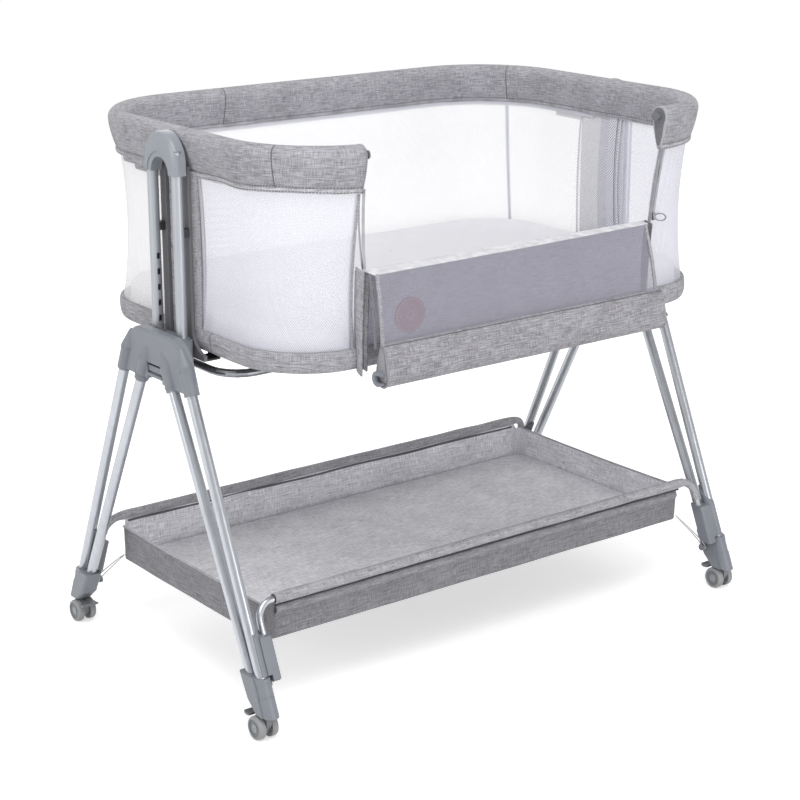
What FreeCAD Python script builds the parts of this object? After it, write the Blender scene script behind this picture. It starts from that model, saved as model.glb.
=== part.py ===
import FreeCAD, Part
import math
import os

# Bedside sleeper crib.  X runs along the crib, -Y is the open bedside front, +Z is up,
# the dimensions are measured from the floor under the middle of the stand.  Millimetres.

V = FreeCAD.Vector
os.makedirs("parts", exist_ok=True)

# The drop side hangs further out than the back, so the origin of the finished parts lies
# this far in front of the stand's middle, under the middle of the whole.
ORIGIN_Y = -14.0

# ------------------------------------------------------------------ fits and clearances
SEAT = 0.1            # radial gap of a tube in a moulded socket
RUNNING = 0.08        # radial gap of a pin or stem that turns
SLIDE = 0.35          # radial gap of the uprights in their guides
CLEAR = 0.6           # gap between mouldings that pass each other
FACE = 0.2            # gap between stacked sheets and boards

# ------------------------------------------------------------------ casters
WHEEL_D = 35.0
WHEEL_W = 11.0
WHEEL_GAP = 10.0      # between the two wheels of one caster
AXLE_D = 5.0
WHEEL_SIDES = 24      # facets round a wheel; they lie within 0.15 mm of the true circle
PEG_SIDES = 12        # flats of stems, pins and plugs
CASTER_X = 457.0
STEM_Y = 271.0
TRAIL = 9.0           # the axle lies this far inward of the stem
STEM_D = 8.0
STEM_REACH = 20.0     # stem length inside the foot
FLANGE_R = 10.0
FLANGE_T = 1.6
BRAKE_PIN_D = 2.4
BRAKE_EYE_R = 3.2
BRAKE_W = 27.0
BRAKE_TONGUE_W = 4.0
BRAKE_REACH = 19.0    # pedal length beyond its pin
BRAKE_T = 3.0

# ------------------------------------------------------------------ stand legs
LEG_X = 455.0
LEG_D = 16.0
LEG_WALL = 1.2
LEG_TOP_Z = 520.0     # height at which the two *_TOP_Y are measured
LEG_END_Z = 64.0
OUTER_TOP_Y = 69.0
OUTER_END_Y = 266.5
INNER_TOP_Y = 13.0
INNER_END_Y = 243.0
OUTER_STOP_Z = 498.0  # where the outer legs end in their bosses
INNER_STOP_Z = 486.0  # the inner legs end beside the release lever

FOOT_W = 28.0         # along X
FOOT_TOP_Z = 90.0
FOOT_BACK = 4.0       # wall behind the inner leg
FOOT_ROUND = 6.0
FOOT_COLUMN_R = 11.5  # round front about the outer leg
FOOT_COLLAR = 0.8     # step of its collar and of its heel
FOOT_COLLAR_H = 10.0
FOOT_HEEL_H = 24.0
KNOB_R = 5.5
KNOB_NECK_R = 3.4
KNOB_HEAD = 3.5
KNOB_L = 10.0
KNOB_Y = 243.0
KNOB_Z = 69.0

# ------------------------------------------------------------------ hubs
HUB_IN_X = 443.0      # seam between the hub and the guide
HUB_T = 16.0          # thickness of the flat part
HUB_BOTTOM_Z = 461.0
HUB_TOP_Z = 534.0
HUB_LOW_Y = 97.0      # half width of the flat part at its lower edge
HUB_SHOULDER_Y = 81.0
HUB_SHOULDER_Z = 508.0
HUB_ARC_Y = 70.5      # a point on the arc from the shoulder to the crest
HUB_ARC_Z = 521.5
HUB_CREST_Y = 48.0
HUB_ROUND = 3.0
BOSS_R = 10.8
BOSS_TIP_R = 4.0
BOSS_TAPER = 26.0     # length of the taper above each leg's end
BOSS_SKIRT = 5.0      # how far the inner bosses reach below the flat part
BOSS_RING = 0.7
BOSS_RING_H = 3.0
WINDOW_HALF_Y = 20.5
WINDOW_TOP_Z = 486.0
LEVER_BOTTOM_Z = 466.0
LEVER_TRAVEL = 3.5
LEVER_T = 8.0
LEVER_LIP = 3.0
LEVER_LIP_H = 5.0
GUIDE_HALF_Y = 46.0
GUIDE_BOTTOM_Z = 468.0
GUIDE_TOP_Z = 526.0
GUIDE_IN_X = 418.5    # inner face of the upright guide
COLLAR_H = 2.5

# ------------------------------------------------------------------ uprights and their cap
UPRIGHT_X = 431.0
UPRIGHT_Y = 33.0
UPRIGHT_D = 16.0
UPRIGHT_WALL = 1.2
UPRIGHT_END_Z = 476.0
UPRIGHT_TOP_Z = 796.0
NOTCH_PITCH = 23.0
NOTCH_COUNT = 7
NOTCH_FIRST_Z = 500.0
NOTCH_W = 5.0
NOTCH_H = 9.0
CAP_SOCKET = 34.0     # how far each upright goes into its cap
CAP_ARCH_DROP = 17.0  # the arch's centre lies this far below the uprights' ends
CAP_WALL = 1.6
CAP_ROUND = 6.5
CAP_STEP = 1.2

# ------------------------------------------------------------------ crib body
RIM_X = 405.0         # tube centre line, half length
RIM_Y = 281.0         # tube centre line, half depth
RIM_R = 145.0
RIM_Z = 811.0
RIM_TUBE_D = 19.0
RIM_TUBE_WALL = 1.2
RIM_SIDES = 10        # flats of the rim tube, which its sleeve hides
BORE_SIDES = 8        # flats of bores that nobody sees
CORNER_CHORDS = 8     # chords in each quarter turn of the soft parts
SLEEVE_R = 14.5       # padded sleeve round the tube
SLEEVE_DROP = 46.0    # its seam below the tube centre
SLEEVE_SEAM = 3.5     # half thickness at that seam
SLEEVE_TURN_DEG = 14.0  # how far the round part goes below the tube's middle
SLEEVE_FLATS = 9
OPEN_LEFT = -292.0    # ends of the two front arms of the rim
OPEN_RIGHT = 256.0
STUD_D = 8.6
STUD_L = 9.0
STUD_HEAD = 2.4       # thickness of its head
END_CAP_T = 3.0
END_PLUG_R = 5.5
END_PLUG_L = 7.0

BODY_X = 410.0        # outside of the bottom band
BODY_Y = 263.0
BODY_R = 113.0
BAND_Z = 510.0
BAND_H = 30.0
BAND_T = 7.0
MESH_T = 1.8
MESH_WAIST = 6.0      # how far the tensioned mesh draws in at half height
STRIP_HALF_Y = 50.0
STRIP_T = 7.0
STRIP_ROUND = 2.0
FOLD_Z = 650.0        # top of the fixed front wall
BOARD_T = 6.0
MATTRESS_T = 44.0
MATTRESS_GAP = 7.0
MATTRESS_CROWN = 3.0  # rise of the padded top above its edge

POST_IN_X = 411.6
POST_T = 5.0
POST_IN_Y = 22.0
POST_W = 15.0
POST_FLARE = 31.0
POST_DROP = 37.0      # the posts end this far below the rim tube
CLIP_Z = 680.0
CLIP_H = 12.0
CLIP_HALF_Y = 6.0

RING_X = 404.0
RING_Y = 112.0
RING_R = 45.0
RING_Z = 484.0
RING_D = 12.0
SADDLE_L = 34.0
SADDLE_X = 250.0
TAB_W = 28.0          # width of the tab from each post to the base

TAPE_W = 10.0
TAPE_T = 2.4
TAPE_GAP = 0.4

# ------------------------------------------------------------------ drop side
RAIL_Z = 507.0
RAIL_Y = -309.0
RAIL_GAP = 1.0        # between a rail end and the rim arm it meets when closed
RAIL_PLUG_L = 12.0
PANEL_T = 1.8
PANEL_TOP_Y = -297.0

# ------------------------------------------------------------------ storage basket
BASKET_Y = 213.0
BASKET_Z = 180.0
BASKET_TUBE_D = 10.0
BASKET_SIDES = 16     # flats round the bent tubes
BASKET_TUBE_X = 433.0  # where the tube ends drop into the brackets
BASKET_BEND = 26.0
SLEEVE_BASKET_R = 7.7
TRAY_X = 415.0
TRAY_Y = 207.0
TRAY_R = 20.0
TRAY_BOTTOM_Z = 114.0
TRAY_TOP_Z = 169.0
TRAY_T = 3.0
TRAY_BOARD_T = 3.0
BRACKET_TOP_Z = 141.0
BRACKET_END_Z = 81.0
BRACKET_IN_X = 426.5
BRACKET_DEPTH_Y = 26.0
SOCKET_DEPTH = 30.0
BUTTON_D = 8.0
BUTTON_T = 1.2
BUTTON_Z = 102.0
CRADLE_R = 10.6
CRADLE_TOP_Z = 170.0
TIE_D = 2.4


FAR = 1000.0          # reach of a cutting block that takes all on one side of a plane


# ------------------------------------------------------------------ helpers
def save(name, *solids):
    shape = solids[0] if len(solids) == 1 else Part.makeCompound(list(solids))
    shape.translate(V(0, -ORIGIN_Y, 0))
    count = len(shape.Solids)
    shape.exportStep(os.path.join("parts", name + ".step"))
    box = shape.BoundBox
    print("%-24s %d solid(s) %s  %.0f x %.0f x %.0f" % (
        name, count, "ok" if shape.isValid() else "INVALID", box.XLength, box.YLength, box.ZLength))


def fuse(first, *others):
    out = first
    for other in others:
        out = out.fuse(other)
    return out.removeSplitter()


def block(x0, x1, y0, y1, z0, z1):
    return Part.makeBox(x1 - x0, y1 - y0, z1 - z0, V(x0, y0, z0))


def place(shape, right, back):
    """Carry a shape built at +X, +Y to another corner of the crib."""
    out = shape.copy()
    if not right:
        out = out.mirror(V(0, 0, 0), V(1, 0, 0))
    if not back:
        out = out.mirror(V(0, 0, 0), V(0, 1, 0))
    return out


CORNERS = [("left_front", False, False), ("left_back", False, True),
           ("right_front", True, False), ("right_back", True, True)]
ENDS = [("left", False), ("right", True)]


def polygon_yz(points, x0, x1):
    """Extrude an outline drawn in the Y-Z plane from x0 to x1."""
    ring = [V(x0, y, z) for y, z in points]
    face = Part.Face(Part.makePolygon(ring + [ring[0]]))
    return face.extrude(V(x1 - x0, 0, 0))


def ring_points(hx, hy, r, z, chords):
    """A rounded rectangle whose corners are drawn in chords."""
    points = []
    for sx, sy, turn in ((1, -1, -90), (1, 1, 0), (-1, 1, 90), (-1, -1, 180)):
        for k in range(chords + 1):
            a = math.radians(turn + 90.0 * k / chords)
            points.append(V(sx * (hx - r) + r * math.cos(a), sy * (hy - r) + r * math.sin(a), z))
    return points


def band_faces(low, high):
    faces = []
    for i, start in enumerate(low):
        j = (i + 1) % len(low)
        faces.append(Part.Face(Part.makePolygon([start, low[j], high[j], high[i], start])))
    return faces


def stacked(rings, hollow=False, chords=0):
    """Solid through rounded rectangles given as (half length, half depth, radius, z).

    A hollow one closes on itself, as a frame does; the other has a floor and a top.
    """
    loops = [ring_points(*ring, chords or CORNER_CHORDS) for ring in rings]
    faces = []
    for low, high in zip(loops, loops[1:]):
        faces += band_faces(low, high)
    if hollow:
        faces += band_faces(loops[-1], loops[0])
    else:
        for loop in (loops[0], loops[-1]):
            faces.append(Part.Face(Part.makePolygon(loop + [loop[0]])))
    return Part.makeSolid(Part.makeShell(faces)).removeSplitter()


def rounded_plate(hx, hy, r, z0, z1):
    return stacked([(hx, hy, r, z0), (hx, hy, r, z1)])


def prism(r, start, end, sides, around=False):
    """A many-sided rod; around puts its flats, not its edges, at radius r."""
    axis = end - start
    reach = r / math.cos(math.pi / sides) if around else r
    u = V(1, 0, 0).cross(axis) if abs(axis.x) < 0.7 * axis.Length else V(0, 0, 1).cross(axis)
    u.normalize()
    w = axis.cross(u)
    w.normalize()
    ring = []
    for k in range(sides):
        a = (k + 0.5) * 2 * math.pi / sides
        ring.append(start + u * (reach * math.cos(a)) + w * (reach * math.sin(a)))
    return Part.Face(Part.makePolygon(ring + [ring[0]])).extrude(axis)


def turned_solid(profile, sides):
    """Turn a closed outline of (x, radius) points about the X axis, in flat facets."""
    faces = []
    step = 2 * math.pi / sides
    for i, (xa, ra) in enumerate(profile):
        xb, rb = profile[(i + 1) % len(profile)]
        if ra == 0 and rb == 0:
            continue
        for k in range(sides):
            ring = []
            for x, r, a in ((xa, ra, k), (xb, rb, k), (xb, rb, k + 1), (xa, ra, k + 1)):
                point = V(x, r * math.cos(a * step), r * math.sin(a * step))
                if all(point.distanceToPoint(q) > 1e-6 for q in ring):
                    ring.append(point)
            faces.append(Part.Face(Part.makePolygon(ring + [ring[0]])))
    return Part.makeSolid(Part.makeShell(faces)).removeSplitter()


def tube(d, wall, start, end):
    axis = end - start
    outer = Part.makeCylinder(d / 2, axis.Length, start, axis)
    return outer.cut(prism(d / 2 - wall, start, end, BORE_SIDES))


def rod(d, start, end):
    axis = end - start
    return Part.makeCylinder(d / 2, axis.Length, start, axis)


def pipe(wire, d, start, sides):
    """A many-sided section swept up from start along a wire of lines and tangent arcs."""
    ring = []
    for k in range(sides):
        a = k * 2 * math.pi / sides
        ring.append(start + V(d / 2 * math.cos(a), d / 2 * math.sin(a), 0))
    return wire.makePipeShell([Part.makePolygon(ring + [ring[0]])], True, False)


def leg_line(outer, z):
    """Y of a leg tube's centre line at height z, on the back half."""
    top = OUTER_TOP_Y if outer else INNER_TOP_Y
    end = OUTER_END_Y if outer else INNER_END_Y
    return top + (end - top) * (LEG_TOP_Z - z) / (LEG_TOP_Z - LEG_END_Z)


def leg_point(outer, z):
    return V(LEG_X, leg_line(outer, z), z)


# ------------------------------------------------------------------ casters
AXLE_Y = STEM_Y - TRAIL
AXLE_Z = WHEEL_D / 2
FOOT_BOTTOM_Z = WHEEL_D + 2.6
YOKE_TOP_Z = FOOT_BOTTOM_Z - 0.4
YOKE_W = WHEEL_GAP - 2 * 0.5
PIN_Y = AXLE_Y - 9.0
PIN_Z = WHEEL_D - 3.5


def caster_wheels():
    """Two tyred wheels with a dished face and a hub cap, and the axle that joins them."""
    r = WHEEL_D / 2
    inner = WHEEL_GAP / 2
    outer = inner + WHEEL_W
    pocket = outer - 3.0
    profile = [(inner, AXLE_D / 2), (inner, r - 1.5), (inner + 1.5, r), (outer - 2.5, r),
               (outer, r - 2.5), (outer, r - 4.5), (outer - 1.6, r - 5.2), (outer - 1.6, 5.5),
               (outer - 0.4, 4.5), (outer - 0.4, 0), (pocket, 0), (pocket, AXLE_D / 2)]
    wheel = turned_solid(profile, WHEEL_SIDES)
    axle = turned_solid([(-pocket, 0), (-pocket, AXLE_D / 2), (pocket, AXLE_D / 2), (pocket, 0)], WHEEL_SIDES)
    out = [wheel, wheel.mirror(V(0, 0, 0), V(1, 0, 0)), axle]
    for solid in out:
        solid.translate(V(CASTER_X, AXLE_Y, AXLE_Z))
    return out


def caster_yoke():
    """The swivelling middle: web between the wheels, flange and stem."""
    half = YOKE_W / 2
    top = YOKE_TOP_Z - FLANGE_T
    outline = [(STEM_Y + 8, top), (STEM_Y + 7, AXLE_Z + 6), (AXLE_Y + 7, AXLE_Z - 9),
               (AXLE_Y - 6, AXLE_Z - 10), (AXLE_Y - 13, AXLE_Z - 2), (PIN_Y - 3.5, PIN_Z + 0.5),
               (PIN_Y, top)]
    web = polygon_yz(outline, CASTER_X - half, CASTER_X + half)
    flange = prism(FLANGE_R, V(CASTER_X, STEM_Y, top), V(CASTER_X, STEM_Y, YOKE_TOP_Z), 2 * PEG_SIDES)
    stem = prism(STEM_D / 2, V(CASTER_X, STEM_Y, top), V(CASTER_X, STEM_Y, YOKE_TOP_Z + STEM_REACH), PEG_SIDES)
    yoke = fuse(web, flange, stem)
    yoke = yoke.cut(prism(AXLE_D / 2 + RUNNING, V(CASTER_X - half, AXLE_Y, AXLE_Z),
                          V(CASTER_X + half, AXLE_Y, AXLE_Z), PEG_SIDES, True))
    slot = BRAKE_TONGUE_W / 2 + 0.3
    yoke = yoke.cut(block(CASTER_X - slot, CASTER_X + slot, PIN_Y - 9, PIN_Y + 4.6,
                          PIN_Z - 4.6, PIN_Z + 5))
    pin = prism(BRAKE_PIN_D / 2, V(CASTER_X - half + 0.5, PIN_Y, PIN_Z),
                V(CASTER_X + half - 0.5, PIN_Y, PIN_Z), PEG_SIDES)
    return yoke.fuse(pin).removeSplitter()


def caster_brake():
    """A foot pedal over both treads, on a tongue that turns on the yoke's pin."""
    half = BRAKE_TONGUE_W / 2
    eye = prism(BRAKE_EYE_R, V(CASTER_X - half, PIN_Y, PIN_Z), V(CASTER_X + half, PIN_Y, PIN_Z), PEG_SIDES)
    tongue = block(CASTER_X - half, CASTER_X + half, PIN_Y - 10, PIN_Y, PIN_Z - 1.0, PIN_Z + 2.4)
    y0 = PIN_Y - 6.5
    y1 = PIN_Y - BRAKE_REACH
    z = PIN_Z + 2.4
    outline = [(y0, z), (y0, z - BRAKE_T), (y1 + 5, z - BRAKE_T - 1.2), (y1, z - BRAKE_T + 0.6),
               (y1, z + 1.6), (y1 + 5, z - 0.6)]
    pedal = polygon_yz(outline, CASTER_X - BRAKE_W / 2, CASTER_X + BRAKE_W / 2)
    lever = fuse(eye, tongue, pedal)
    return lever.cut(prism(BRAKE_PIN_D / 2 + RUNNING, V(CASTER_X - half, PIN_Y, PIN_Z),
                           V(CASTER_X + half, PIN_Y, PIN_Z), PEG_SIDES, True))


# ------------------------------------------------------------------ stand
def leg_tubes():
    return [tube(LEG_D, LEG_WALL, leg_point(True, LEG_END_Z), leg_point(True, OUTER_STOP_Z)),
            tube(LEG_D, LEG_WALL, leg_point(False, LEG_END_Z), leg_point(False, INNER_STOP_Z))]


def leg_bore(outer, z0, z1):
    return rod(LEG_D + 2 * SEAT, leg_point(outer, z0), leg_point(outer, z1))


def foot():
    """The slanted moulding that joins two legs and takes the caster stem."""
    top = FOOT_TOP_Z
    low = FOOT_BOTTOM_Z
    back = leg_line(False, top) - LEG_D / 2 - FOOT_BACK
    outline = [(back, top), (leg_line(True, top), top), (leg_line(True, low), low),
               (AXLE_Y - 6, low), (AXLE_Y - 24, low + 15)]
    x0 = LEG_X - FOOT_W / 2
    body = polygon_yz(outline, x0, x0 + FOOT_W)
    back_edges = [e for e in body.Edges if e.CenterOfMass.y < AXLE_Y - 10
                  and abs(e.tangentAt(e.FirstParameter).x) < 0.1 and abs(e.tangentAt(e.FirstParameter).z) > 0.3]
    body = body.makeFillet(FOOT_ROUND, back_edges)
    column = rod(2 * FOOT_COLUMN_R, leg_point(True, low - 20), leg_point(True, top + 20))
    step_r = FOOT_COLUMN_R + FOOT_COLLAR
    collar = rod(2 * step_r, leg_point(True, top - FOOT_COLLAR_H), leg_point(True, top + 20))
    heel = rod(2 * step_r, leg_point(True, low - 20), leg_point(True, low + FOOT_HEEL_H))
    front = fuse(column, collar, heel).common(block(x0 - 20, x0 + 60, 200, 400, low, top))
    knob = fuse(rod(2 * KNOB_NECK_R, V(x0 + 1, KNOB_Y, KNOB_Z), V(x0 - KNOB_L, KNOB_Y, KNOB_Z)),
                rod(2 * KNOB_R, V(x0 - KNOB_L, KNOB_Y, KNOB_Z), V(x0 - KNOB_L + KNOB_HEAD, KNOB_Y, KNOB_Z)))
    body = fuse(body, front, knob)
    for outer in (True, False):
        body = body.cut(leg_bore(outer, LEG_END_Z, FOOT_TOP_Z + 20))
    bore_top = FOOT_BOTTOM_Z + STEM_REACH + 1.0
    return body.cut(prism(STEM_D / 2 + RUNNING, V(CASTER_X, STEM_Y, FOOT_BOTTOM_Z - 5),
                          V(CASTER_X, STEM_Y, bore_top), PEG_SIDES, True))


LEG_SLOPE = (OUTER_END_Y - OUTER_TOP_Y) / (LEG_TOP_Z - LEG_END_Z)


def socket_y(z):
    """Y of the basket tube's end at height z; the ends lean like the outer legs."""
    return BASKET_Y + LEG_SLOPE * (BASKET_Z - z)


def basket_bracket():
    """Socket block for the basket tube, with a web and cradle that hug both legs."""
    def outline(back, front, z0, z1):
        return [(back(z1), z1), (front(z1), z1), (front(z0), z0), (back(z0), z0)]

    top = BRACKET_TOP_Z
    low = FOOT_TOP_Z + 2.0
    half = BRACKET_DEPTH_Y / 2
    foot_x = LEG_X - FOOT_W / 2 - CLEAR
    web_x = LEG_X - CRADLE_R
    box = polygon_yz(outline(lambda z: socket_y(z) - half, lambda z: socket_y(z) + half,
                             BRACKET_END_Z, top), BRACKET_IN_X, foot_x)
    box_edges = [e for e in box.Edges if abs(e.CenterOfMass.x - BRACKET_IN_X) < 0.2
                 or abs(e.CenterOfMass.z - BRACKET_END_Z) < 0.2 and abs(e.tangentAt(0).x) > 0.9]
    box = box.makeFillet(3.5, box_edges)
    bridge = polygon_yz(outline(lambda z: socket_y(z) - half, lambda z: socket_y(z) + half,
                                low, top), foot_x - 5, web_x + 3)
    web = polygon_yz(outline(lambda z: leg_line(False, z), lambda z: leg_line(True, z), low, top),
                     web_x, LEG_X - 2)
    cradle = rod(2 * CRADLE_R, leg_point(True, low - 10), leg_point(True, CRADLE_TOP_Z))
    cradle = cradle.cut(block(0, 600, 0, 600, 0, low))
    tip = leg_line(True, CRADLE_TOP_Z)
    cradle = cradle.cut(polygon_yz([(tip - 11, CRADLE_TOP_Z), (tip + 50, CRADLE_TOP_Z - 46),
                                    (tip + 50, CRADLE_TOP_Z + 20), (tip - 11, CRADLE_TOP_Z + 20)],
                                   LEG_X - 40, LEG_X + 40))
    outside = block(LEG_X + 2, LEG_X + 40, 0, 400, 0, 400)
    button = rod(BUTTON_D, V(BRACKET_IN_X - BUTTON_T, socket_y(BUTTON_Z), BUTTON_Z),
                 V(BRACKET_IN_X + 4, socket_y(BUTTON_Z), BUTTON_Z))
    body = fuse(box, bridge, web, cradle.cut(outside), button)
    for outer in (True, False):
        body = body.cut(leg_bore(outer, LEG_END_Z, CRADLE_TOP_Z + 20))
    deep = top - SOCKET_DEPTH
    socket = prism(BASKET_TUBE_D / 2 + SEAT, V(BASKET_TUBE_X, socket_y(deep), deep),
                   V(BASKET_TUBE_X, socket_y(top + 8), top + 8), BASKET_SIDES, True)
    return body.cut(socket)


def basket_tube(side):
    """Long tube with both ends bent down into the brackets; side is -1 front, +1 back."""
    lean = math.atan(LEG_SLOPE)
    r = BASKET_BEND
    k = r * math.sqrt(0.5)
    x = BASKET_TUBE_X
    drop = (BASKET_Z - (BRACKET_TOP_Z - SOCKET_DEPTH + 1)) / math.cos(lean)
    edges = [Part.LineSegment(V(-x, 0, -drop), V(-x, 0, -r)).toShape(),
             Part.Arc(V(-x, 0, -r), V(-x + r - k, 0, -r + k), V(-x + r, 0, 0)).toShape(),
             Part.LineSegment(V(-x + r, 0, 0), V(x - r, 0, 0)).toShape(),
             Part.Arc(V(x - r, 0, 0), V(x - r + k, 0, -r + k), V(x, 0, -r)).toShape(),
             Part.LineSegment(V(x, 0, -r), V(x, 0, -drop)).toShape()]
    out = pipe(Part.Wire(edges), BASKET_TUBE_D, V(-x, 0, -drop), BASKET_SIDES)
    out.rotate(V(0, 0, 0), V(1, 0, 0), side * math.degrees(lean))
    out.translate(V(0, side * BASKET_Y, BASKET_Z))
    return out


def basket_tray():
    """Fabric tray: floor, low walls, and the sleeves that hang it from the tubes."""
    outer = rounded_plate(TRAY_X, TRAY_Y, TRAY_R, TRAY_BOTTOM_Z, TRAY_TOP_Z)
    inner = rounded_plate(TRAY_X - TRAY_T, TRAY_Y - TRAY_T, TRAY_R - TRAY_T,
                          TRAY_BOTTOM_Z + TRAY_T, TRAY_TOP_Z + 1)
    tray = outer.cut(inner)
    reach = BASKET_TUBE_X - BASKET_BEND - 4
    for side in (-1, 1):
        y = side * BASKET_Y
        roll = prism(SLEEVE_BASKET_R, V(-reach, y, BASKET_Z), V(reach, y, BASKET_Z), BASKET_SIDES)
        wall = block(-TRAY_X + TRAY_R, TRAY_X - TRAY_R, TRAY_Y - TRAY_T, TRAY_Y,
                     TRAY_TOP_Z - 2, BASKET_Z)
        if side < 0:
            wall = wall.mirror(V(0, 0, 0), V(0, 1, 0))
        tray = tray.fuse(roll).fuse(wall)
        tray = tray.cut(prism(BASKET_TUBE_D / 2 + SEAT, V(-reach - 1, y, BASKET_Z),
                              V(reach + 1, y, BASKET_Z), BASKET_SIDES, True))
    return tray.removeSplitter()


def basket_board():
    gap = TRAY_T + 2.0
    z = TRAY_BOTTOM_Z + TRAY_T + FACE
    return rounded_plate(TRAY_X - gap, TRAY_Y - gap, TRAY_R - gap, z, z + TRAY_BOARD_T)


def basket_tie():
    """Elastic from the tray's lower corner to the knob on the foot."""
    neck_x = LEG_X - FOOT_W / 2 - (KNOB_L - KNOB_HEAD) / 2
    knob = V(neck_x, KNOB_Y - KNOB_NECK_R - TIE_D / 2 - 0.3, KNOB_Z)
    k = (TRAY_R + TIE_D / 2 + 0.2) * math.sqrt(0.5) - TRAY_R
    corner = V(TRAY_X + k, TRAY_Y + k, TRAY_BOTTOM_Z + 3)
    return prism(TIE_D / 2, corner, knob, BORE_SIDES)


# ------------------------------------------------------------------ hubs
def hub_outline(x, inset):
    """Flat part of the hub: straight flanks, an arc on each shoulder, a level crest."""
    low = V(x, HUB_LOW_Y - inset, HUB_BOTTOM_Z)
    shoulder = V(x, HUB_SHOULDER_Y - inset, HUB_SHOULDER_Z - 0.4 * inset)
    bulge = V(x, HUB_ARC_Y - 0.8 * inset, HUB_ARC_Z - 0.8 * inset)
    crest = V(x, HUB_CREST_Y - 0.4 * inset, HUB_TOP_Z - inset)

    def other(p):
        return V(p.x, -p.y, p.z)

    return Part.Wire([Part.LineSegment(other(low), low).toShape(),
                      Part.LineSegment(low, shoulder).toShape(),
                      Part.Arc(shoulder, bulge, crest).toShape(),
                      Part.LineSegment(crest, other(crest)).toShape(),
                      Part.Arc(other(crest), other(bulge), other(shoulder)).toShape(),
                      Part.LineSegment(other(shoulder), other(low)).toShape()])


def hub_boss(outer):
    """Boss round one leg, with a ring and a tapered end that dies into the flat part."""
    stop = (OUTER_STOP_Z if outer else INNER_STOP_Z) + 1.5
    low = HUB_BOTTOM_Z - (0 if outer else BOSS_SKIRT)
    ring_z = stop - 2 * BOSS_RING_H if outer else HUB_BOTTOM_Z
    start = leg_point(outer, low)
    end = leg_point(outer, stop)
    boss = rod(2 * BOSS_R, start, end)
    tip = Part.makeCone(BOSS_R, BOSS_TIP_R, BOSS_TAPER, end, end - start)
    ring = rod(2 * (BOSS_R + BOSS_RING), leg_point(outer, ring_z), leg_point(outer, ring_z + BOSS_RING_H))
    return fuse(boss, tip, ring)


def hub_shell():
    """Outer moulding of the hub with a boss round each leg and the lever's window."""
    x1 = HUB_IN_X + HUB_T
    outlines = [hub_outline(HUB_IN_X, 0), hub_outline(x1 - HUB_ROUND, 0), hub_outline(x1, HUB_ROUND)]
    body = Part.makeLoft(outlines, True, True)
    for outer in (True, False):
        boss = hub_boss(outer)
        body = body.fuse(boss).fuse(boss.mirror(V(0, 0, 0), V(0, 1, 0)))
    body = body.cut(block(HUB_IN_X - FAR, HUB_IN_X, -FAR, FAR, 0, FAR))
    body = body.cut(block(HUB_IN_X - 1, HUB_IN_X + 60, -WINDOW_HALF_Y, WINDOW_HALF_Y,
                          HUB_BOTTOM_Z - 20, WINDOW_TOP_Z))
    for outer in (True, False):
        bore = leg_bore(outer, HUB_BOTTOM_Z - 30, (OUTER_STOP_Z if outer else INNER_STOP_Z) + 1)
        body = body.cut(bore).cut(bore.mirror(V(0, 0, 0), V(0, 1, 0)))
    return body.removeSplitter()


def hub_guide():
    """Inner moulding that the two uprights slide through, hollow for the latch."""
    x1 = HUB_IN_X - 0.05
    body = block(GUIDE_IN_X, x1, -GUIDE_HALF_Y, GUIDE_HALF_Y, GUIDE_BOTTOM_Z, GUIDE_TOP_Z)
    edges = [e for e in body.Edges if abs(e.CenterOfMass.x - GUIDE_IN_X) < 0.1
             and abs(e.tangentAt(e.FirstParameter).z) > 0.9]
    body = body.makeFillet(7.0, edges)
    for side in (-1, 1):
        y = side * UPRIGHT_Y
        collar = Part.makeCylinder(UPRIGHT_D / 2 + 3.4, COLLAR_H + 1, V(UPRIGHT_X, y, GUIDE_TOP_Z - 1))
        body = body.fuse(collar)
    body = body.cut(block(x1, x1 + 40, -80, 80, 400, 600))
    for side in (-1, 1):
        y = side * UPRIGHT_Y
        bore = Part.makeCylinder(UPRIGHT_D / 2 + SLIDE, 200, V(UPRIGHT_X, y, GUIDE_BOTTOM_Z - 50))
        body = body.cut(bore)
    cavity = block(GUIDE_IN_X + 4, x1 + 1, -18, 18, GUIDE_BOTTOM_Z - 1, GUIDE_TOP_Z - 8)
    return body.cut(cavity).removeSplitter()


def release_lever():
    """Squeeze lever in the hub's window, with the latch block between the uprights."""
    x1 = HUB_IN_X + HUB_T - 2
    x0 = x1 - LEVER_T
    half = WINDOW_HALF_Y - CLEAR
    low = LEVER_BOTTOM_Z
    top = WINDOW_TOP_Z - LEVER_TRAVEL - CLEAR
    lip_top = low + LEVER_LIP_H
    plate = block(x0, x1, -half, half, low, top)
    lip = block(x0, x1 + LEVER_LIP, -half, half, low, lip_top)
    groove = block(x1 - 2, x1 + 5, -half, half, lip_top, lip_top + 2.5)
    face = plate.fuse(lip).cut(groove)
    lip_edges = [e for e in face.Edges if abs(e.tangentAt(e.FirstParameter).y) > 0.9
                 and abs(e.CenterOfMass.x - x1 - LEVER_LIP) < 0.1]
    face = face.makeFillet(1.5, lip_edges)
    shank = block(GUIDE_IN_X + 9, x0 + 1, -8, 8, low + 4, top - 6)
    nose = UPRIGHT_Y - UPRIGHT_D / 2 - 7.5
    latch = block(GUIDE_IN_X + 6, GUIDE_IN_X + 18, -nose, nose, low + 6, top - 2)
    return fuse(face, shank, latch)


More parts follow.
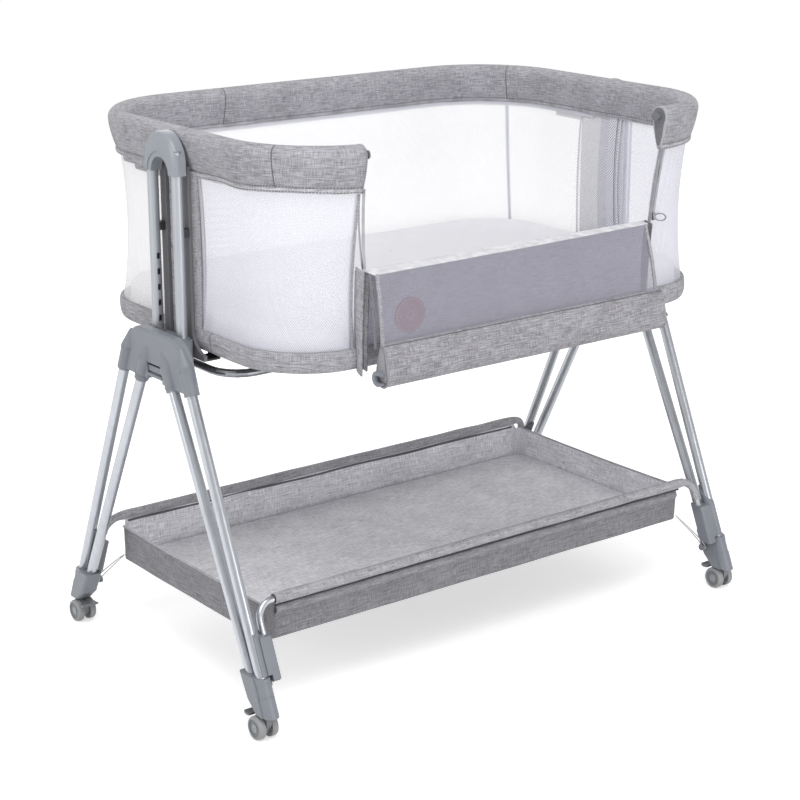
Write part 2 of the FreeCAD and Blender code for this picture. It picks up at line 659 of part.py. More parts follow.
# ------------------------------------------------------------------ uprights, cap
def uprights():
    """Two tubes with height notches on the faces that look at each other."""
    out = []
    for side in (-1, 1):
        y = side * UPRIGHT_Y
        body = tube(UPRIGHT_D, UPRIGHT_WALL, V(UPRIGHT_X, y, UPRIGHT_END_Z),
                    V(UPRIGHT_X, y, UPRIGHT_TOP_Z))
        inner_face = y - side * UPRIGHT_D / 2
        for i in range(NOTCH_COUNT):
            z = NOTCH_FIRST_Z + i * NOTCH_PITCH
            reach = UPRIGHT_WALL + 1.5
            body = body.cut(block(UPRIGHT_X - NOTCH_W / 2, UPRIGHT_X + NOTCH_W / 2,
                                  inner_face - reach, inner_face + reach,
                                  z - NOTCH_H / 2, z + NOTCH_H / 2))
        out.append(body)
    return out


CAP_END_Z = UPRIGHT_TOP_Z - CAP_SOCKET
CAP_ARCH_Z = UPRIGHT_TOP_Z - CAP_ARCH_DROP
POST_TOP_Z = RIM_Z - POST_DROP


def arch_wire(x, r, low):
    """Outline of an arch in the Y-Z plane: a half circle on two straight legs."""
    z = CAP_ARCH_Z
    return Part.Wire([Part.LineSegment(V(x, -r, low), V(x, -r, z)).toShape(),
                      Part.Arc(V(x, -r, z), V(x, 0, z + r), V(x, r, z)).toShape(),
                      Part.LineSegment(V(x, r, z), V(x, r, low)).toShape(),
                      Part.LineSegment(V(x, r, low), V(x, -r, low)).toShape()])


def upright_cap():
    """Arch that joins the uprights over the rim, with a stepped face and a small opening."""
    half = UPRIGHT_Y + UPRIGHT_D / 2 + CAP_WALL
    x0 = UPRIGHT_X - UPRIGHT_D / 2 - CAP_WALL
    x1 = UPRIGHT_X + UPRIGHT_D / 2 + CAP_WALL
    bevels = [(x0, 0), (x1 - CAP_ROUND, 0), (x1 - 0.4 * CAP_ROUND, 0.2 * CAP_ROUND), (x1, 0.8 * CAP_ROUND)]
    body = Part.makeLoft([arch_wire(x, half - inset, CAP_END_Z) for x, inset in bevels], True, True)
    gap = UPRIGHT_Y - UPRIGHT_D / 2 - CAP_WALL
    opening = fuse(rod(2 * gap, V(x0 - 1, 0, CAP_END_Z), V(x1 + 1, 0, CAP_END_Z)),
                   block(x0 - 1, x1 + 1, -gap, gap, CAP_END_Z - 20, CAP_END_Z))
    step = rod(2 * UPRIGHT_Y, V(x1 - CAP_STEP, 0, CAP_END_Z - 2), V(x1 + 5, 0, CAP_END_Z - 2))
    body = body.cut(opening).cut(step)
    for side in (-1, 1):
        body = body.cut(rod(UPRIGHT_D + 2 * SEAT, V(UPRIGHT_X, side * UPRIGHT_Y, CAP_END_Z - 5),
                            V(UPRIGHT_X, side * UPRIGHT_Y, UPRIGHT_TOP_Z + 0.5)))
    return body


# ------------------------------------------------------------------ rim
def swept_ring(outline, hx, hy, r, chords=0):
    """Carry an outline of (outward, height) points round a rounded rectangle."""
    return stacked([(hx + out, hy + out, r + out, z) for out, z in outline], True, chords)


def open_rim(outline, hole):
    """The rim is open between the ends of its two front arms."""
    gap = block(OPEN_LEFT - END_CAP_T, OPEN_RIGHT + END_CAP_T, -RIM_Y - FAR, -RIM_Y + RIM_R / 2,
                RIM_Z - 2 * SLEEVE_DROP, RIM_Z + 2 * SLEEVE_DROP)
    ring = swept_ring(outline, RIM_X, RIM_Y, RIM_R).cut(swept_ring(hole, RIM_X, RIM_Y, RIM_R))
    return ring.cut(gap)


def ngon(r, z, sides):
    """A regular outline of (outward, height) points."""
    turns = [(k + 0.5) * 2 * math.pi / sides for k in range(sides)]
    return [(r * math.cos(a), z + r * math.sin(a)) for a in turns]


def teardrop(z, sign):
    """Outline of the padded sleeve: round over the tube, narrowing to its seam."""
    span = 180 + 2 * SLEEVE_TURN_DEG
    ring = []
    for k in range(SLEEVE_FLATS + 1):
        a = math.radians(span * k / SLEEVE_FLATS - SLEEVE_TURN_DEG)
        ring.append((SLEEVE_R * math.cos(a), z + sign * SLEEVE_R * math.sin(a)))
    return ring + [(-SLEEVE_SEAM, z - sign * SLEEVE_DROP), (SLEEVE_SEAM, z - sign * SLEEVE_DROP)]


def tube_outlines(z):
    return ngon(RIM_TUBE_D / 2, z, RIM_SIDES), ngon(RIM_TUBE_D / 2 - RIM_TUBE_WALL, z, BORE_SIDES)


def rim_tube():
    return open_rim(*tube_outlines(RIM_Z))


def rim_cover():
    return open_rim(teardrop(RIM_Z, 1), ngon(RIM_TUBE_D / 2 + FACE, RIM_Z, RIM_SIDES))


def rounded_y(x, hx, hy, r):
    """Half depth of a rounded rectangle at x."""
    past = abs(x) - (hx - r)
    return hy if past <= 0 else hy - r + math.sqrt(r * r - past * past)


def rim_end(x, sign):
    """Moulded end of a rim arm, with the stud that holds the raised rail."""
    y = -rounded_y(x, RIM_X, RIM_Y, RIM_R)
    neck = x + sign * (STUD_L - STUD_HEAD)
    flange = rod(2 * (SLEEVE_R - 2), V(x, y, RIM_Z), V(x - sign * (END_CAP_T - FACE), y, RIM_Z))
    plug = prism(END_PLUG_R, V(x, y, RIM_Z), V(x - sign * END_PLUG_L, y, RIM_Z), PEG_SIDES)
    stud = rod(STUD_D, V(x - sign * 1, -RIM_Y, RIM_Z), V(neck, -RIM_Y, RIM_Z))
    head = rod(STUD_D + 3.6, V(neck, -RIM_Y, RIM_Z), V(x + sign * STUD_L, -RIM_Y, RIM_Z))
    return fuse(flange, plug, stud, head)


# ------------------------------------------------------------------ soft body
WALL_TOP_Z = RIM_Z - SLEEVE_DROP - FACE
WALL_LOW_Z = BAND_Z + BAND_H + FACE


def wall_levels():
    """Half length, half depth, corner radius and height of the three rings of the walls."""
    low = (BODY_X - BAND_T / 2, BODY_Y - BAND_T / 2, BODY_R, WALL_LOW_Z)
    top = (RIM_X, RIM_Y, RIM_R, WALL_TOP_Z)
    mid = [(a + b) / 2 for a, b in zip(low, top)]
    return [low, (mid[0] - MESH_WAIST, mid[1] - MESH_WAIST, mid[2], mid[3]), top]


def wall_shell():
    """Tensioned mesh all round, drawn in a little at half height."""
    outside = wall_levels()
    inside = [(hx - MESH_T, hy - MESH_T, r - MESH_T, z) for hx, hy, r, z in reversed(outside)]
    return stacked(outside + inside, True)


def walls():
    """Mesh walls and the fixed linen front, cut from one drawn shell."""
    shell = wall_shell()
    strip = block(-FAR, FAR, -STRIP_HALF_Y - FACE, STRIP_HALF_Y + FACE, 0, FAR)
    shell = shell.cut(strip)
    back = shell.common(block(-FAR, FAR, STRIP_HALF_Y, FAR, 0, FAR))
    left = shell.common(block(-FAR, OPEN_LEFT, -FAR, -STRIP_HALF_Y, 0, FAR))
    right = shell.common(block(OPEN_RIGHT, FAR, -FAR, -STRIP_HALF_Y, 0, FAR))
    front = shell.common(block(OPEN_LEFT + FACE, OPEN_RIGHT - FACE, -FAR, -STRIP_HALF_Y, 0, FOLD_Z))
    return back, left, right, front


def end_strip():
    """Padded linen strip behind the uprights."""
    x1 = POST_IN_X - FACE
    x0 = x1 - STRIP_T
    body = block(x0, x1, -STRIP_HALF_Y, STRIP_HALF_Y, WALL_LOW_Z, WALL_TOP_Z)
    edges = [e for e in body.Edges if abs(e.tangentAt(e.FirstParameter).z) > 0.9]
    return body.makeChamfer(STRIP_ROUND, edges)


def bottom_band():
    """Padded band round the base, its lower edge drawn in."""
    outline = [(-5.0, 0), (-1.0, 4.0), (0, BAND_H / 2), (-2.0, BAND_H), (-BAND_T, BAND_H), (-BAND_T, 0)]
    return swept_ring([(out, BAND_Z + up) for out, up in outline], BODY_X, BODY_Y, BODY_R)


def base_board():
    gap = BAND_T + 1.0
    return rounded_plate(BODY_X - gap, BODY_Y - gap, BODY_R - gap, BAND_Z + 1, BAND_Z + 1 + BOARD_T)


def mattress():
    """Foam mattress: sides drawn in between its edges, and a crowned top."""
    gap = BAND_T + MATTRESS_GAP
    t = MATTRESS_T
    levels = [(7.0, 0), (0, 6.0), (2.0, t / 2), (0, t - 8.0), (4.0, t - 2.0), (14.0, t),
              (60.0, t + MATTRESS_CROWN)]
    z = BAND_Z + 1 + BOARD_T + FACE
    return stacked([(BODY_X - gap - inset, BODY_Y - gap - inset, BODY_R - gap - inset, z + up)
                    for inset, up in levels])


def zip_tape(x):
    """Binding tape with the zip, on the free edge of a wall and as curved as it is."""
    ends = []
    for end_x in (x - TAPE_W / 2, x + TAPE_W / 2):
        inside = []
        outside = []
        for hx, hy, r, z in wall_levels():
            y = rounded_y(end_x, hx, hy, r) + TAPE_GAP
            inside.append(V(end_x, -y, z))
            outside.insert(0, V(end_x, -y - TAPE_T, z))
        ring = inside + outside
        ends.append(Part.makePolygon(ring + [ring[0]]))
    return Part.makeLoft(ends, True, True)


# ------------------------------------------------------------------ frame under and behind the fabric
def end_post(side):
    """Black flat post behind an upright, flared at its foot."""
    z0 = BAND_Z - 12
    y0 = POST_IN_Y
    y1 = y0 + POST_W
    edges = [Part.LineSegment(V(0, y0, POST_TOP_Z), V(0, y0, z0)).toShape(),
             Part.LineSegment(V(0, y0, z0), V(0, y1 + POST_FLARE, z0)).toShape(),
             Part.LineSegment(V(0, y1 + POST_FLARE, z0), V(0, y1 + POST_FLARE, z0 + 8)).toShape(),
             Part.Arc(V(0, y1 + POST_FLARE, z0 + 8), V(0, y1 + 9, z0 + 19), V(0, y1, z0 + 48)).toShape(),
             Part.LineSegment(V(0, y1, z0 + 48), V(0, y1, POST_TOP_Z)).toShape(),
             Part.LineSegment(V(0, y1, POST_TOP_Z), V(0, y0, POST_TOP_Z)).toShape()]
    post = Part.Face(Part.Wire(edges)).extrude(V(POST_T, 0, 0))
    post.translate(V(POST_IN_X, 0, 0))
    if side < 0:
        post = post.mirror(V(0, 0, 0), V(0, 1, 0))
    return post


def spacer_clip(side):
    """Black nub between an upright and its post."""
    y = side * UPRIGHT_Y
    nub = block(POST_IN_X + POST_T + 0.02, UPRIGHT_X - 4, y - CLIP_HALF_Y, y + CLIP_HALF_Y,
                CLIP_Z - CLIP_H / 2, CLIP_Z + CLIP_H / 2)
    return nub.cut(rod(UPRIGHT_D + 0.04, V(UPRIGHT_X, y, CLIP_Z - CLIP_H), V(UPRIGHT_X, y, CLIP_Z + CLIP_H)))


def base_ring():
    """Steel tube that carries the base, a rounded rectangle."""
    return swept_ring(ngon(RING_D / 2, RING_Z, PEG_SIDES), RING_X, RING_Y, RING_R, 5)


def base_saddles():
    """Saddles between the steel ring and the base, and the tabs to the posts."""
    out = []
    for sx in (-1, 1):
        for sy in (-1, 1):
            y0 = sy * RING_Y
            saddle = block(sx * SADDLE_X - SADDLE_L / 2, sx * SADDLE_X + SADDLE_L / 2, y0 - 9, y0 + 9,
                           RING_Z, BAND_Z + 1 - 0.05)
            saddle = saddle.cut(prism(RING_D / 2 + 0.05, V(sx * SADDLE_X - 60, y0, RING_Z),
                                      V(sx * SADDLE_X + 60, y0, RING_Z), PEG_SIDES))
            out.append(saddle)
            xa = POST_IN_X - 0.05
            yb = POST_IN_Y + POST_W + POST_FLARE
            ya = yb - TAB_W
            tab = block(xa - 22, xa, ya, yb, BAND_Z - 12, BAND_Z - 9)
            riser = block(xa - 22, xa - 18, ya, yb, BAND_Z - 12, BAND_Z + 1 - 0.05)
            out.append(place(fuse(tab, riser), sx > 0, sy > 0))
    return out


# ------------------------------------------------------------------ drop side
RAIL_LEFT = OPEN_LEFT + RAIL_GAP
RAIL_RIGHT = OPEN_RIGHT - RAIL_GAP
HINGE_Y = (RAIL_Y - RIM_Y) / 2
HINGE_Z = (RAIL_Z + RIM_Z) / 2


def rail_run(outline, hole):
    """Carry a hollow outline straight along the rail."""
    x0 = RAIL_LEFT + RAIL_PLUG_L
    x1 = RAIL_RIGHT - RAIL_PLUG_L
    outer = polygon_yz([(RAIL_Y - out, z) for out, z in outline], x0, x1)
    return outer.cut(polygon_yz([(RAIL_Y - out, z) for out, z in hole], x0, x1))


def rail_tube():
    return rail_run(*tube_outlines(RAIL_Z))


def rail_cover():
    return rail_run(teardrop(RAIL_Z, -1), ngon(RIM_TUBE_D / 2 + FACE, RAIL_Z, RIM_SIDES))


def rail_plug(x, sign):
    """End plug of the rail; its slot takes the rim's stud as the rail comes up."""
    y = RAIL_Y
    z = RAIL_Z
    body = rod(2 * (SLEEVE_R - 3.5), V(x, y, z), V(x + sign * (RAIL_PLUG_L - FACE), y, z))
    plug = prism(RIM_TUBE_D / 2 - RIM_TUBE_WALL - SEAT, V(x + sign * 8, y, z), V(x + sign * 30, y, z), BORE_SIDES)
    body = fuse(body, plug)
    slot_w = STUD_D / 2 + CLEAR
    head_w = STUD_D / 2 + 1.8 + CLEAR
    far = y - 30

    def slot(half, x_in, x_out):
        channel = block(min(x_in, x_out), max(x_in, x_out), far, y, z - half, z + half)
        end = rod(2 * half, V(min(x_in, x_out), y, z), V(max(x_in, x_out), y, z))
        return channel.fuse(end)

    body = body.cut(slot(slot_w, x - sign * 1, x + sign * (STUD_L + CLEAR)))
    body = body.cut(slot(head_w, x + sign * (STUD_L - STUD_HEAD - RAIL_GAP - CLEAR), x + sign * (STUD_L + CLEAR)))
    return body


def drop_panel():
    """Mesh panel from the fold down to the rail's seam."""
    y1 = RAIL_Y
    z1 = RAIL_Z + SLEEVE_DROP + FACE
    x0 = RAIL_LEFT + RAIL_PLUG_L
    x1 = RAIL_RIGHT - RAIL_PLUG_L
    t = PANEL_T / 2
    outline = [(PANEL_TOP_Y - t, FOLD_Z), (PANEL_TOP_Y + t, FOLD_Z), (y1 + t, z1), (y1 - t, z1)]
    return polygon_yz(outline, x0, x1)


# ------------------------------------------------------------------ build
def at_corners(*shapes):
    return [place(shape, right, back) for _, right, back in CORNERS for shape in shapes]


def at_ends(*shapes):
    return [place(shape, right, True) for _, right in ENDS for shape in shapes]


save("leg_tubes", *at_corners(*leg_tubes()))
save("feet", *at_corners(foot()))
save("basket_brackets", *at_corners(basket_bracket()))
save("basket_ties", *at_corners(basket_tie()))
save("basket_tube_front", basket_tube(-1))
save("basket_tube_back", basket_tube(1))
save("basket_tray", basket_tray())
save("basket_board", basket_board())
save("hubs", *at_ends(hub_shell()))
save("upright_guides", *at_ends(hub_guide()))

wheels_shape = caster_wheels()
yoke_shape = caster_yoke()
brake_shape = caster_brake()
for name, right, back in CORNERS:
    save("caster_wheels_" + name, *[place(w, right, back) for w in wheels_shape])
    save("caster_yoke_" + name, place(yoke_shape, right, back))
    save("caster_brake_" + name, place(brake_shape, right, back))
lever_shape = release_lever()
for name, right in ENDS:
    save("release_lever_" + name, place(lever_shape, right, True))

save("uprights", *at_ends(*uprights()))
save("upright_caps", *at_ends(upright_cap()))
save("end_strips", *at_ends(end_strip()))
save("end_posts", *at_ends(end_post(-1), end_post(1)))
save("spacer_clips", *at_ends(spacer_clip(-1), spacer_clip(1)))
save("base_ring", base_ring())
save("base_saddles", *base_saddles())

save("rim_tube", rim_tube())
save("rim_cover", rim_cover())
save("rim_ends", rim_end(OPEN_LEFT, 1), rim_end(OPEN_RIGHT, -1))
mesh_back, mesh_left, mesh_right, front_wall = walls()
save("mesh_back", mesh_back)
save("mesh_left_front", mesh_left)
save("mesh_right_front", mesh_right)
save("front_wall", front_wall)
save("bottom_band", bottom_band())
save("base_board", base_board())
save("mattress", mattress())
save("zip_tapes", zip_tape(OPEN_LEFT - TAPE_W / 2), zip_tape(OPEN_RIGHT + TAPE_W / 2))

save("drop_rail_tube", rail_tube())
save("drop_rail_cover", rail_cover())
save("drop_rail_plugs", rail_plug(RAIL_LEFT, 1), rail_plug(RAIL_RIGHT, -1))
save("drop_panel", drop_panel())
print("hinge line of the drop side: y %.1f z %.1f" % (HINGE_Y, HINGE_Z))
print("nodes:", len([f for f in os.listdir("parts") if f.endswith(".step")]))
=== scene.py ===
# %% [markdown]
# # Dressing a bedside sleeper crib
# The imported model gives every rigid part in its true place. This lesson adds what a solid can't
# show: cloth with a weave, netting, padding, stitching, and plastic and metal that catch the light.

# %% Load the frame
import bpy
import math
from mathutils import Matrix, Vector, noise


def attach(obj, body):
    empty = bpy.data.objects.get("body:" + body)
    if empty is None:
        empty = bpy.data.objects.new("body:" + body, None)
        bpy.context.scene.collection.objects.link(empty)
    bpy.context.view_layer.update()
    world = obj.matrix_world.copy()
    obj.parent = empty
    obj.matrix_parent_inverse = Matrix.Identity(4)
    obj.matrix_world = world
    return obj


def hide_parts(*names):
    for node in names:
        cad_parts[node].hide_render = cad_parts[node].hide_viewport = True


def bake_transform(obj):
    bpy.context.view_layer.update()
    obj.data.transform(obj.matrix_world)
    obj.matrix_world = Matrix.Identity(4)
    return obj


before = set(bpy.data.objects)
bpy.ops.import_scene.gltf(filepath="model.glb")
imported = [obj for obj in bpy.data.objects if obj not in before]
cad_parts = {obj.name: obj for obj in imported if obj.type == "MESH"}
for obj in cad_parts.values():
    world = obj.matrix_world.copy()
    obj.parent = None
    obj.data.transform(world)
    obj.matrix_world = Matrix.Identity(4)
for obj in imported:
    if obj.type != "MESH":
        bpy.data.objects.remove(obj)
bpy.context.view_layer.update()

# %% [markdown]
# ## The camera
# The photograph was taken from the front left and from a little above, with a long lens. The place
# and the lens were found from the straight legs, the casters and the corners of the rim.

# %% Camera at the photograph's angle
YAW, PITCH = math.radians(37.36), math.radians(17.13)
CAMERA_PLACE = (-1.8246, -2.3563, 1.2691)
looking = Vector((math.sin(YAW) * math.cos(PITCH), math.cos(YAW) * math.cos(PITCH), -math.sin(PITCH)))
bpy.ops.object.camera_add(location=CAMERA_PLACE)
camera = bpy.context.object
camera.rotation_euler = looking.to_track_quat("-Z", "Y").to_euler()
camera.data.sensor_width, camera.data.lens = 36.0, 88.41
camera.data.clip_end = 50.0
bpy.context.scene.camera = camera
bpy.context.scene.view_settings.view_transform = "Standard"
print("camera", tuple(round(c, 3) for c in camera.location))

# %% [markdown]
# ## Wiring a finish
# A finish is a small web of nodes. A `Wire` stands for one socket, and sums with it add Math nodes,
# so a pattern can be written as a formula. A `Web` adds every kind of node in one way, and a
# `Finish` is the web of a material. Fixed numbers are set on the shader and never wired.


# %% Formulas and finishes
class Wire:
    """One output socket of a web. Arithmetic on it adds Math nodes."""

    def __init__(self, web, socket):
        self.web, self.socket = web, socket

    def math(self, operation, *others):
        return self.web.sum(operation, self, *others)

    def __add__(self, other):
        return self.math("ADD", other)

    def __sub__(self, other):
        return self.math("SUBTRACT", other)

    def __rsub__(self, other):
        return self.web.sum("SUBTRACT", other, self)

    def __mul__(self, other):
        return self.math("MULTIPLY", other)

    def __truediv__(self, other):
        return self.math("DIVIDE", other)

    def __pow__(self, other):
        return self.math("POWER", other)

    def __gt__(self, limit):
        return self.math("GREATER_THAN", limit)

    def __abs__(self):
        return self.math("ABSOLUTE")

    __radd__, __rmul__ = __add__, __mul__

    def wave(self, turns):
        """A sine that runs through `turns` radians per unit."""
        return (self * turns).math("SINE")

    def near(self, at, half):
        """One where the value is within `half` of `at`, else zero."""
        return self.math("COMPARE", at, half)

    def least(self, other):
        return self.math("MINIMUM", other)

    def most(self, other):
        return self.math("MAXIMUM", other)


class Web:
    """A web of nodes, of a material or of the world."""

    def __init__(self, owner):
        owner.use_nodes = True
        self.tree = owner.node_tree

    def node(self, kind, inputs, out=0, stops=(), **settings):
        """Adds a node: its settings and ramp stops first, then the value or the wire of each input."""
        node = self.tree.nodes.new(kind)
        for key, value in settings.items():
            setattr(node, key, value)
        if stops:
            band = node.color_ramp
            while len(band.elements) < len(stops):
                band.elements.new(0.5)
            for element, (at, colour) in zip(band.elements, stops):
                element.position, element.color = at, (*colour, 1.0)
        for key, value in inputs.items():
            self.set(node.inputs[key], value)
        return Wire(self, node.outputs[out])

    def sum(self, operation, *values):
        return self.node("ShaderNodeMath", dict(enumerate(values)), operation=operation)

    def set(self, socket, value):
        """Wires a socket, or sets a fixed value on it."""
        if isinstance(value, Wire):
            self.tree.links.new(value.socket, socket)
        else:
            socket.default_value = value

    def ray(self, kind):
        """One for rays of this kind: the floor and the world look different to each."""
        return self.node("ShaderNodeLightPath", {}, out="Is %s Ray" % kind)


class Finish(Web):
    """A material with its fixed numbers set, and the web that feeds it."""

    def __init__(self, name, rough, metal=0.0, sheen=0.0, coat=0.0):
        self.material = bpy.data.materials.new(name)
        super().__init__(self.material)
        self.feed({"Roughness": rough, "Metallic": metal, "Sheen Weight": sheen, "Sheen Roughness": 0.4,
                   "Coat Weight": coat})

    def feed(self, values):
        for name, value in values.items():
            self.set(self.tree.nodes["Principled BSDF"].inputs[name], value)

    def coordinates(self, kind):
        return self.node("ShaderNodeTexCoord", {}, out=kind)

    def axes(self, place):
        """The three parts of a place."""
        parts = self.node("ShaderNodeSeparateXYZ", {0: place}).socket.node.outputs
        return [Wire(self, part) for part in parts]

    def fractal(self, place, scale, detail=2.0):
        """Noise: a scale of 100 makes a patch of about a centimetre. Three scales stretch it."""
        scale = scale if isinstance(scale, tuple) else (scale,) * 3
        mapped = self.node("ShaderNodeMapping", {"Vector": place, "Scale": scale})
        return self.node("ShaderNodeTexNoise", {"Vector": mapped, "Scale": 1.0, "Detail": detail})

    def ramp(self, value, *stops):
        return self.node("ShaderNodeValToRGB", {0: value}, stops=stops)

    def tones(self, value, colour, low, dark, high, light):
        """From a darker to a lighter shade of one colour."""
        return self.ramp(value, (low, shade_of(colour, dark)), (high, shade_of(colour, light)))

    def stretch(self, value, low, high, top=1.0):
        """Carries low..high to 0..top and holds it there."""
        return self.node("ShaderNodeMapRange", {"Value": value, "From Min": low, "From Max": high,
                                                "To Min": 0.0, "To Max": top})

    def mix(self, share, a, b):
        """A share of colour b over a. A plain tuple is a fixed colour."""
        a, b = ((*c, 1.0) if isinstance(c, tuple) else c for c in (a, b))
        return self.node("ShaderNodeMix", {0: share, 6: a, 7: b}, out=2, data_type="RGBA")

    def done(self, colour, rough, height, depth, strength=1.0):
        """Feeds the colour, the roughness and a bump of `depth` metres."""
        bump = {"Height": height, "Distance": depth, "Strength": strength}
        self.feed({"Base Color": colour, "Roughness": rough, "Normal": self.node("ShaderNodeBump", bump)})
        return self.material


def shade_of(colour, k):
    return tuple(c * k for c in colour)


def diamonds(u, v, pitch):
    """Zero on two sets of slanting lines and rising to one between them."""
    turns = math.pi / pitch
    return abs((u + v).wave(turns)).least(abs((u - v).wave(turns)))


print("formulas ready")

# %% [markdown]
# ## Heathered linen
# The sleeves, bands and tray are a melange weave: light and dark yarns cross, so short streaks run
# both ways. Two stretched noises make the streaks, a third adds the thicker slubs, and a fourth
# makes the soft clouds of uneven dye. The pattern reads the piece's own UV map, drawn in metres of
# cloth, so it runs round each roll. Seams and rows of stitches are lines on the same map, darker
# and pressed in.

# %% Linen and its seams
STITCH_PITCH, STITCH_HALF, SEAM_HALF = 0.0045, 0.0008, 0.0010
THREADS = 5200.0


def seam_lines(u, v, seams_u, seams_v, stitches_u, stitches_v):
    """One on each seam and on each stitch, or nothing where there are none."""
    mark = None
    for along, other, places, dashed in ((u, v, seams_u, False), (v, u, seams_v, False),
                                         (u, v, stitches_u, True), (v, u, stitches_v, True)):
        for at in places:
            line = along.near(at, STITCH_HALF if dashed else SEAM_HALF)
            if dashed:
                line = line * ((other / STITCH_PITCH).math("FRACT") > 0.35)
            mark = line if mark is None else mark.most(line)
    return mark


def linen(name, colour=(0.345, 0.34, 0.367), seams_u=(), seams_v=(), stitches_u=(), stitches_v=(),
          contrast=1.0):
    made = Finish(name, 0.9, sheen=0.12)
    place = made.coordinates("UV")
    warp = made.fractal(place, (75.0, 1150.0, 200.0))
    weft = made.fractal(place, (1150.0, 75.0, 200.0))
    slub = made.fractal(place, (32.0, 640.0, 32.0), 1.0)
    cloud = made.fractal(place, 19.0, 3.0)
    heather = (warp + weft + slub * 0.7 + cloud * 0.35) / 3.05
    wide = 0.10 / contrast
    yarn = made.ramp(heather, (0.5 - wide, shade_of(colour, 0.55)), (0.5, colour),
                     (0.5 + wide, shade_of(colour, 1.5)))
    u, v, _ = made.axes(place)
    height = u.wave(THREADS) * v.wave(THREADS) * 0.15 + heather * 2.0
    mark = seam_lines(u, v, seams_u, seams_v, stitches_u, stitches_v)
    if mark is not None:
        yarn = made.mix(mark * 0.75, yarn, shade_of(colour, 0.28))
        height = height - mark
    return made.done(yarn, cloud * 0.2 + 0.78, height, 0.0006, 0.8)


plain_linen = linen("heathered_linen")
light_linen = linen("light_linen", (0.46, 0.455, 0.48))
# The same linen darkened: painted shade, for faces that lie in shade.
painted_shade_linen = linen("shaded_linen", (0.20, 0.198, 0.215))
print("linen nodes", len(plain_linen.node_tree.nodes))

# %% [markdown]
# ## Netting
# The walls are knitted netting with rows of small diamond holes. Modelling a hundred thousand holes
# would be wasteful, so two sets of slanting lines in the UV map decide where the yarn is, and the
# rest is nearly clear. The flat tension makes it look almost like white cloth from a distance.


# %% Netting material
def netting(name, yarn, hole, pitch, clear, softness=0.25):
    made = Finish(name, 0.85, sheen=0.1)
    place = made.coordinates("UV")
    u, v, _ = made.axes(place)
    gap = made.stretch(diamonds(u, v, pitch), 0.5 - softness, 0.5 + softness)
    soft = made.fractal(place, 16.0)
    tone = made.mix(soft * 0.12, made.mix(gap * 0.9, yarn, hole), shade_of(yarn, 0.8))
    made.feed({"Alpha": 1.0 - gap * clear})
    return made.done(tone, soft * 0.2 + 0.7, 1.0 - gap, 0.0004, 0.6)


white_netting = netting("white_diamond_netting", (0.96, 0.96, 0.975), (0.93, 0.93, 0.96), 0.0036, 0.80)
# The front corner walls use a darker copy of the same netting: painted shade.
painted_shade_netting = netting("shaded_diamond_netting", (0.80, 0.80, 0.88), (0.66, 0.66, 0.76), 0.0040, 0.80)
seam_netting = netting("doubled_netting", (0.80, 0.80, 0.86), (0.30, 0.30, 0.36), 0.0050, 0.20, 0.15)
panel_netting = netting("lavender_fine_netting", (0.37, 0.366, 0.43), (0.355, 0.35, 0.41), 0.0026, 0.90)
print("netting ready")

# %% [markdown]
# ## White cotton, tape and elastic
# The mattress has a soft white cotton cover, quilted in very shallow diamonds, which two sets of
# slanting lines press into the padding. Faint broken rings are scattered over it, like a plain
# sprigged print.


# %% Cotton and tape
def cotton(name, colour, quilt=0.075):
    made = Finish(name, 0.9, sheen=0.2)
    place = made.coordinates("Object")
    x, y, _ = made.axes(place)
    puff = diamonds(x, y, quilt) ** 0.4
    weave = made.fractal(place, 900.0, 1.0)
    cloud = made.fractal(place, 9.0, 3.0)
    # The quilt's grooves also darken the colour a little: painted shade in the creases.
    tone = made.tones(cloud * 0.7 + puff * 0.3, colour, 0.1, 0.95, 0.8, 1.0)
    spots = made.node("ShaderNodeTexVoronoi", {"Vector": place, "Scale": 11.0, "Randomness": 0.45})
    broken = made.fractal(place, 150.0, 1.0) > 0.5
    tone = made.mix(spots.near(0.085, 0.022) * broken * 0.3, tone, (0.45, 0.45, 0.50))
    return made.done(tone, cloud * 0.2 + 0.75, weave * 0.06 + puff, 0.0010, 0.25)


def tape(name, colour, ribs=0.0016):
    """Woven binding or zip tape, with fine ribs across its length."""
    made = Finish(name, 0.8, sheen=0.1)
    place = made.coordinates("Object")
    x, _, z = made.axes(place)
    rib = (x + z).wave(2 * math.pi / ribs)
    cloud = made.fractal(place, 60.0)
    tone = made.tones(rib * 0.12 + cloud, colour, 0.3, 0.78, 0.7, 1.15)
    return made.done(tone, cloud * 0.2 + 0.68, rib, 0.0002, 0.6)


quilt_cotton = cotton("quilted_white_cotton", (0.76, 0.752, 0.785))
binding_tape = tape("light_grey_binding", (0.44, 0.44, 0.47))
zip_cloth = tape("grey_zip_tape", (0.30, 0.298, 0.325))
white_tape = tape("white_cotton_tape", (0.70, 0.70, 0.73))
elastic_cord = tape("white_elastic", (0.72, 0.72, 0.72), 0.0012)
print("cotton and tapes ready")

# %% [markdown]
# ## Moulded plastic
# The hubs, caps, feet and brackets are a blue-grey moulding with a fine sparked texture. A little
# noise in colour and gloss keeps large faces alive, and a few light scuffs run over them.


# %% Plastics, rubber
def moulded(name, colour, rough=0.42, grain=900.0, depth=0.00012, coat=0.05):
    made = Finish(name, rough, coat=coat)
    place = made.coordinates("Object")
    cloud = made.fractal(place, 14.0, 4.0)
    spark = made.fractal(place, grain, 1.0)
    tone = made.tones(cloud, colour, 0.3, 0.92, 0.7, 1.08)
    rubbed = made.stretch(made.fractal(place, (120.0, 120.0, 22.0), 5.0), 0.66, 0.8, 0.35)
    tone = made.mix(rubbed, tone, shade_of(colour, 1.35))
    return made.done(tone, cloud * 0.16 + (rough - 0.08), spark, depth, 0.7)


